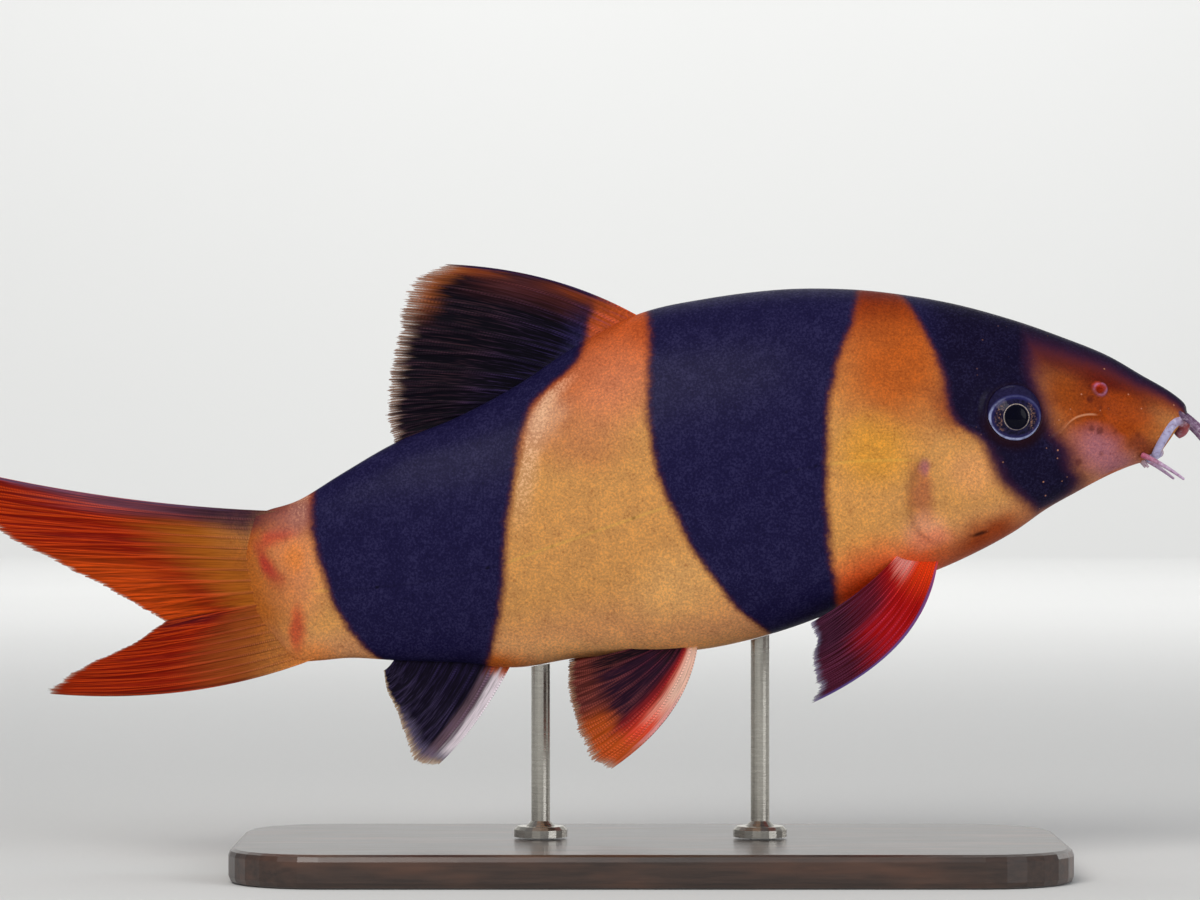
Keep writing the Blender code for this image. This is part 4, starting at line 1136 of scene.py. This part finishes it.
class HeadForms:
    """Distances from the head's forms to each point of the skin, and the relief that they give it."""

    def __init__(self, points):
        self.points = points
        self.side_view = points[:, (0, 2)]
        self.eye = self.nearest_side(EYE)
        self.nostril = self.nearest_side(NOSTRIL)
        self.groove = line_distance(self.side_view, smooth(SPINE_GROOVE, np.linspace(0, 1, 17)))
        self.past_gill, self.gill_hind = past_gill_cover(self.side_view)

    def nearest_side(self, spot):
        """How far each point lies from a spot, seen from its own side."""
        away = [axis_distance(self.points, *Flank.find(*spot, sign)) for _, sign in SIDES]
        return np.where(self.points[:, 1] < 0, *away)

    def mound(self, spot, width):
        """A soft mound on both sides of the head or the shoulder."""
        return bell(np.linalg.norm(self.side_view - spot, axis=1), width)

    def fine(self):
        """Where the skin needs finer faces."""
        near_eye = np.abs(self.eye - SOCKET_RIM) < 1.3
        near_gill = (np.abs(self.past_gill - 0.1) < 1.0) & (self.gill_hind > 0.02)
        return near_eye | (self.nostril < 1.8) | (self.groove < 0.9) | near_gill

    def swell(self):
        """How far the skin stands out, in millimetres."""
        eye, nostril, groove, gill = self.eye, self.nostril, self.groove, self.past_gill
        socket_rim = 0.20 * bell(eye - SOCKET_RIM, 0.6) - 0.16 * bell(eye - 5.8, 0.8)
        socket = -1.1 * (1 - rise(eye, 3.2, 4.2))
        nostril_rim = 0.26 * bell(nostril - 0.85, 0.28)
        nostril_hole = -0.7 * (1 - rise(nostril, 0.2, 0.65))
        nostril_flap = 0.40 * bell(nostril - 0.80, 0.35) * rise(self.points[:, 0] - NOSTRIL[0], 0.0, 0.6)
        closed_spine = 0.10 * bell(groove - 0.10, 0.25) - 0.10 * bell(groove - 0.45, 0.25)
        plate = 0.36 * bell(np.minimum(gill, 0.0), 3.0) * (1 - rise(gill, -0.30, 0.60))
        gill_cover = self.gill_hind * (plate - 0.14 * bell(gill - 0.6, 0.7))
        shoulder = 0.6 * self.mound(PECTORAL_ROOT, 3.2)
        cheek = 0.25 * self.mound(CHEEK, 6.0)
        round_nostril = nostril_rim + nostril_hole + nostril_flap
        return socket_rim + socket + round_nostril + closed_spine + gill_cover + shoulder + cheek

    def crease(self):
        """Painted shade in the skin's slits: how dark the skin is painted round and below the eye's socket, in
        the nostril, along the spine's groove and in the gill slit.
        """
        below = rise(EYE[1] - self.points[:, 2], -1.0, 3.0)
        socket = (0.30 + 0.30 * below) * bell(self.eye - 4.2, 0.35) + 0.85 * below * bell(self.eye - 4.8, 0.8)
        nostril = 0.35 * (1 - rise(self.nostril, 0.1, 0.5))
        groove = 0.18 * bell(self.groove - 0.45, 0.25)
        gill_slit = 0.26 * self.gill_hind * bell(self.past_gill - 0.4, 0.8)
        return np.clip(socket + nostril + groove + gill_slit, 0.0, 1.0)

    def pale(self):
        """How pale the skin is on the nostril's rim."""
        return bell(self.nostril - 0.9, 0.20)


def make_skin():
    """One continuous skin from lips to tail root."""
    bm, back, hollow = body_ball(shape().skin_rings, shape().skin_sides)
    # How deep each corner lies in the mouth is kept for the painted shade there.
    store(bm, back=back, hollow=rise(hollow, 0.0, 0.2))
    chosen = {v for v, fine in zip(bm.verts, HeadForms(corners(bm)).fine()) if fine}
    edges = [e for e in bm.edges if chosen.issuperset(e.verts)]
    bmesh.ops.subdivide_edges(bm, edges=edges, cuts=1, use_grid_fill=True)
    bm.normal_update()
    forms = HeadForms(corners(bm))
    # The painted shade of the slits and the nostril's pale rim are kept for the skin's material.
    store(bm, crease=forms.crease(), pale=forms.pale())
    for v, out in zip(bm.verts, forms.swell()):
        v.co += v.normal * out
    nodes = ("head", "gill_cover_right", "gill_cover_left", "trunk", "tail_stalk")
    finish_piece("skin", bm, skin_material(), nodes)


def straight(values, at):
    """Straight lines through evenly spaced values, read at each share of their length in `at`."""
    return np.interp(at, np.linspace(0, 1, len(values)), values)


def drawn_ball(points, radii, off_line, rings, sides, reach=(0.0, 1.0)):
    """A ball drawn out along a line of points, with rounded ends.

    `off_line` is a direction that the line never takes. `reach` says along the line how far the colour has
    changed from the root's to the tip's.
    """
    bm, share, angle = ball(rings, sides)
    ahead = smooth(points, np.minimum(share + 0.01, 1.0)) - smooth(points, np.maximum(share - 0.01, 0.0))
    ahead /= np.linalg.norm(ahead, axis=1)[:, None]
    side = np.cross(ahead, off_line)
    side /= np.linalg.norm(side, axis=1)[:, None]
    end = np.clip(np.minimum(share, 1 - share) / 0.03, 0.0, 1.0)
    radius = straight(radii, share) * np.sqrt(1 - (1 - end) ** 2)
    turned = np.cos(angle)[:, None] * side + np.sin(angle)[:, None] * np.cross(ahead, side)
    draw_out(bm, smooth(points, share) + turned * radius[:, None])
    store(bm, reach=straight(reach, share))
    return bm


def join_meshes(meshes):
    """Several bmeshes as one."""
    whole = bmesh.new()
    for bm in meshes:
        part = bpy.data.meshes.new("part")
        bm.to_mesh(part)
        bm.free()
        whole.from_mesh(part)
        bpy.data.meshes.remove(part)
    return whole


def make_mouth():
    """The fleshy lips, dark at the middle and pale at the corners, and the lobe before them."""
    lips = []
    for half_lip, radius in ((UPPER_LIP, shape().upper_lip / MM), (LOWER_LIP, shape().lower_lip / MM)):
        whole_lip = half_lip + tuple((x, -y, z) for x, y, z in half_lip[-2::-1])
        line = smooth(whole_lip, np.linspace(0, 1, LIP_POINTS))
        fullness = np.sin(np.linspace(0, math.pi, LIP_POINTS))
        radii = radius * (1 - LIP_THINNING + LIP_THINNING * fullness)
        lips.append(drawn_ball(line, radii, OFF_LIPS, LIP_RINGS, LIP_SIDES, (1.0, 0.0, 1.0)))
    line = smooth(LIP_LOBE, np.linspace(0, 1, LOBE_POINTS))
    lips.append(drawn_ball(line, LIP_LOBE_RADII, OFF_BARBELS, LIP_RINGS // 2, LIP_SIDES, (0.0, 0.15)))
    material = feeler_material("lips", paint(160, 62, 54), paint(172, 168, 204))
    finish_piece("lips", join_meshes(lips), material, ())


def make_barbels():
    """Four pairs of tapering feelers."""
    materials = {
        "rostral": feeler_material("snout barbels", paint(70, 42, 78), paint(140, 108, 138)),
        "maxillary": feeler_material("mouth barbels", paint(188, 88, 116), colours().barbel),
        "mandibular": feeler_material("lip lobes", paint(170, 112, 52), paint(196, 172, 186)),
    }
    ring = np.linspace(0, 1, BARBEL_RINGS + 1)
    s = np.linspace(0, 1, BARBEL_POINTS)[:, None]
    for name, (root, tip, radius, bow) in BARBELS.items():
        material = materials[name.split("_")[1]]
        taper = radius + (shape().barbel_tip / MM - radius) * ring
        taper *= 1 + RINGLET_SWELL * np.sin(RINGLETS * math.tau * ring)
        for label, sign in SIDES:
            start, end, bowed = (np.array(place) * (1, sign, 1) for place in (root, tip, bow))
            middle = (start + end) / 2 + bowed
            line = start * (1 - s) ** 2 + middle * 2 * s * (1 - s) + end * s**2
            bm = drawn_ball(line, taper, OFF_BARBELS, BARBEL_RINGS, BARBEL_SIDES)
            finish_piece(f"{name}_{label}_skin", bm, material, (f"{name}_{label}",))


def make_eyes():
    """Two glossy eyeballs, with the iris turned a little downward."""
    material = eye_material()
    radius, depth = shape().eye_radius / MM, shape().eye_depth / MM
    for label, sign in SIDES:
        place, outward = Flank.find(*EYE, sign)
        centre = place + outward * (shape().eye_proud / MM - depth)
        up = (Vector((0, 0, 1)) - outward * outward.z).normalized()
        turn = Matrix((up.cross(outward), up, outward)).transposed()
        bm = ball(EYE_RINGS, EYE_SIDES)[0]
        bmesh.ops.scale(bm, vec=(radius, radius, depth), verts=bm.verts[:])
        map_flat(bm, "eye", lambda co: (co.x / EYE_MAP + 0.5, co.y / EYE_MAP + 0.5))
        for v in bm.verts:
            rim = math.hypot(v.co.x / IRIS_REACH[0], (v.co.y + IRIS_DROP) / IRIS_REACH[1])
            pupil = math.hypot(v.co.x, v.co.y + IRIS_DROP) / PUPIL
            front = float(rise(v.co.z, 0.2, 1.0))
            v.co.z += front * (0.07 * bell(rim - 0.96, 0.08) - 0.12 * (1 - rise(pupil, 0.9, 1.05)))
            v.co.z += front * 0.04 * bell(pupil - 1.1, 0.08)
        bmesh.ops.transform(bm, matrix=Matrix.Translation(centre) @ turn.to_4x4(), verts=bm.verts[:])
        finish_piece(f"eyeball_{label}", bm, material, (f"eye_{label}",))


def fin_points(fin, along, out, sign):
    """Points of a fin's sheet: `along` from its front ray to its hind ray, `out` from root to tips."""
    sheet = np.zeros((len(along), 3))
    weights = ((1 - out) ** 2, 2 * out * (1 - out), out**2)
    for name, ends, weight in zip(("root", "middle", "tips"), fin["y"], weights):
        sheet[:, (0, 2)] += weight[:, None] * smooth(fin[name], along)
        sheet[:, 1] += sign * weight * (ends[0] * (1 - along) + ends[1] * along)
    return sheet


def ray_ridge(ray_at, out, simple):
    """1 on a ray and 0 on the web between two, with the rays branching towards the tips."""
    fold = np.abs(ray_at - np.round(ray_at))
    for spread, low, high in FORKS:
        fold = np.abs(fold - spread * rise(out, low, high) * (ray_at > simple - 0.5))
    return 1 - rise(fold / (0.20 - 0.12 * out), 0.3, 1.0)


def make_fin(node, fin, material, sign, draw):
    """A fin with branched rays standing out of a thin web, frayed at its tips."""
    bm = bmesh.new()
    bmesh.ops.create_grid(bm, x_segments=(fin["rays"] - 1) * RAY_STEPS, y_segments=FIN_ROWS, size=0.5)
    along, out, _ = corners(bm).T + 0.5
    map_flat(bm, "fin", lambda co: (co.x + 0.5, co.y + 0.5))
    ray_at = along * (fin["rays"] - 1)
    ridge = ray_ridge(ray_at, out, fin["simple"]) * rise(out, 0.06, 0.24)
    ends = [draw.random() for _ in range(4 * fin["rays"] + 1)]
    frayed = WEB_NOTCH * (1 - ridge) + RAY_NOTCH * np.interp(ray_at * 4, np.arange(len(ends)), ends)
    long = FAR_PECTORAL if node == "pectoral_fin_left" else 1.0
    points = fin_points(fin, along, long * out * (1 - frayed * out**8), sign)
    points[:, 1] += FIN_WAVE * np.sin(ray_at * 2.1 + 3.0 * out) * rise(out, 0.2, 1.0)
    move_corners(bm, points)
    root = shape().fin_root
    ray = shape().fin_ray * (1 - RAY_THINNING * out)
    web = shape().fin_web * (1 - WEB_THINNING * out)
    blade = web + (ray - web) * ridge
    thick = blade + (root - blade) * np.clip(1 - out / ROOT_SHARE, 0.0, 1.0) ** 1.6
    obj = finish_piece(f"{node}_skin", bm, material, (node,))
    group = obj.vertex_groups.new(name="thickness")
    for index, share in enumerate(thick / root):
        group.add([index], float(share), "REPLACE")
    shell = obj.modifiers.new("blade", "SOLIDIFY")
    shell.thickness = root
    shell.offset = 0.0
    shell.vertex_group = group.name


def make_fins():
    """Dorsal, tail, anal, pelvic and pectoral fins."""
    draw = random.Random(7)
    for name, fin in FINS.items():
        slot = "caudal_fin" if name.startswith("caudal") else name
        material = fin_material(name, FIN_PAINT[slot])
        if name in PAIRED:
            for label, sign in SIDES:
                make_fin(f"{name}_{label}", fin, material, sign, draw)
        else:
            make_fin(name, fin, material, 1, draw)


def make_stand():
    """The stand's own solids stay and take their finishes."""
    wood, metal = wood_material(), metal_material()
    for name, material in (("stand_base", wood), ("stand_rod_front", metal), ("stand_rod_rear", metal)):
        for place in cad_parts[name].material_slots:
            place.material = material


def make_floor():
    """A pale floor that sweeps up into a wall behind the model."""
    bm = bmesh.new()
    bmesh.ops.create_grid(bm, x_segments=1, y_segments=2, size=1.0)
    for v in bm.verts:
        v.co = (v.co.x * FLOOR_HALF_WIDTH, *FLOOR_PROFILE[round(v.co.y) + 1])
    foot = [e for e in bm.edges if all((v.co.y, v.co.z) == FLOOR_PROFILE[1] for v in e.verts)]
    bmesh.ops.bevel(bm, geom=foot, offset=SWEEP_RADIUS, segments=24, profile=0.5, affect="EDGES", material=-1)
    new_object("floor", bm, floor_material())


def add_light(name, place, aim, size, power, tone):
    light = bpy.data.lights.new(name, "AREA")
    light.shape = "DISK"
    light.size = size
    light.energy = power
    light.color = tone
    obj = bpy.data.objects.new(name, light)
    obj.location = place
    obj.rotation_euler = (Vector(aim) - Vector(place)).to_track_quat("-Z", "Y").to_euler()
    bpy.context.scene.collection.objects.link(obj)


def make_stage():
    """Floor, soft lights, a pale surround and the camera."""
    make_floor()
    for light in LIGHTS:
        add_light(*light)
    world = bpy.data.worlds.new("studio")
    world.use_nodes = True
    sky = world.node_tree.nodes["Background"]
    sky.inputs["Color"].default_value = (*SURROUND, 1.0)
    sky.inputs["Strength"].default_value = SURROUND_STRENGTH
    scene = bpy.context.scene
    scene.world = world
    scene.view_settings.view_transform = "Standard"
    camera = bpy.data.cameras.new("camera")
    camera.lens = CAMERA_LENS
    camera.sensor_width = CAMERA_SENSOR
    camera.clip_start = 0.01
    eye = bpy.data.objects.new("camera", camera)
    eye.location = CAMERA_PLACE
    eye.rotation_euler = (math.pi / 2, 0.0, 0.0)
    scene.collection.objects.link(eye)
    scene.camera = eye


class LOACH_OT_stage(bpy.types.Operator):
    """Set up the floor, the lights and the camera"""

    bl_idname = "loach.stage"
    bl_label = "Stage"
    bl_options = {"REGISTER", "UNDO"}

    def execute(self, context):
        make_stage()
        return {"FINISHED"}


class LOACH_OT_skin(bpy.types.Operator):
    """Make the skin of the body, from the mouth to the root of the tail fin"""

    bl_idname = "loach.skin"
    bl_label = "Skin"
    bl_options = {"REGISTER", "UNDO"}

    def execute(self, context):
        make_skin()
        return {"FINISHED"}


class LOACH_OT_mouth(bpy.types.Operator):
    """Make the fleshy lips"""

    bl_idname = "loach.mouth"
    bl_label = "Mouth"
    bl_options = {"REGISTER", "UNDO"}

    def execute(self, context):
        make_mouth()
        return {"FINISHED"}


class LOACH_OT_eyes(bpy.types.Operator):
    """Make both eyeballs"""

    bl_idname = "loach.eyes"
    bl_label = "Eyes"
    bl_options = {"REGISTER", "UNDO"}

    def execute(self, context):
        make_eyes()
        return {"FINISHED"}


class LOACH_OT_barbels(bpy.types.Operator):
    """Make the four pairs of barbels"""

    bl_idname = "loach.barbels"
    bl_label = "Barbels"
    bl_options = {"REGISTER", "UNDO"}

    def execute(self, context):
        make_barbels()
        return {"FINISHED"}


class LOACH_OT_fins(bpy.types.Operator):
    """Make the dorsal, tail, anal, pelvic and pectoral fins"""

    bl_idname = "loach.fins"
    bl_label = "Fins"
    bl_options = {"REGISTER", "UNDO"}

    def execute(self, context):
        make_fins()
        return {"FINISHED"}


class LOACH_OT_stand(bpy.types.Operator):
    """Finish the stand's base and rods"""

    bl_idname = "loach.stand"
    bl_label = "Stand"
    bl_options = {"REGISTER", "UNDO"}

    def execute(self, context):
        make_stand()
        return {"FINISHED"}


OPERATORS = (
    LOACH_OT_stage,
    LOACH_OT_skin,
    LOACH_OT_mouth,
    LOACH_OT_eyes,
    LOACH_OT_barbels,
    LOACH_OT_fins,
    LOACH_OT_stand,
)


class LOACH_PT_pieces(bpy.types.Panel):
    """The model's pieces, sizes and colours"""

    bl_label = "Clown loach"
    bl_space_type = "VIEW_3D"
    bl_region_type = "UI"
    bl_category = "Clown loach"

    def draw(self, context):
        for operator in OPERATORS:
            self.layout.operator(operator.bl_idname)
        for group in (context.scene.loach_shape, context.scene.loach_colours):
            box = self.layout.box()
            for name in group.__annotations__:
                box.prop(group, name)


CLASSES = (LoachShape, LoachColours, *OPERATORS, LOACH_PT_pieces)


def register():
    for kind in CLASSES:
        bpy.utils.register_class(kind)
    bpy.types.Scene.loach_shape = PointerProperty(type=LoachShape)
    bpy.types.Scene.loach_colours = PointerProperty(type=LoachColours)


def unregister():
    del bpy.types.Scene.loach_colours
    del bpy.types.Scene.loach_shape
    for kind in reversed(CLASSES):
        bpy.utils.unregister_class(kind)


def main():
    register()
    bpy.ops.loach.stage()
    bpy.ops.loach.skin()
    bpy.ops.loach.mouth()
    bpy.ops.loach.eyes()
    bpy.ops.loach.barbels()
    bpy.ops.loach.fins()
    bpy.ops.loach.stand()


if __name__ == "__main__":
    main()
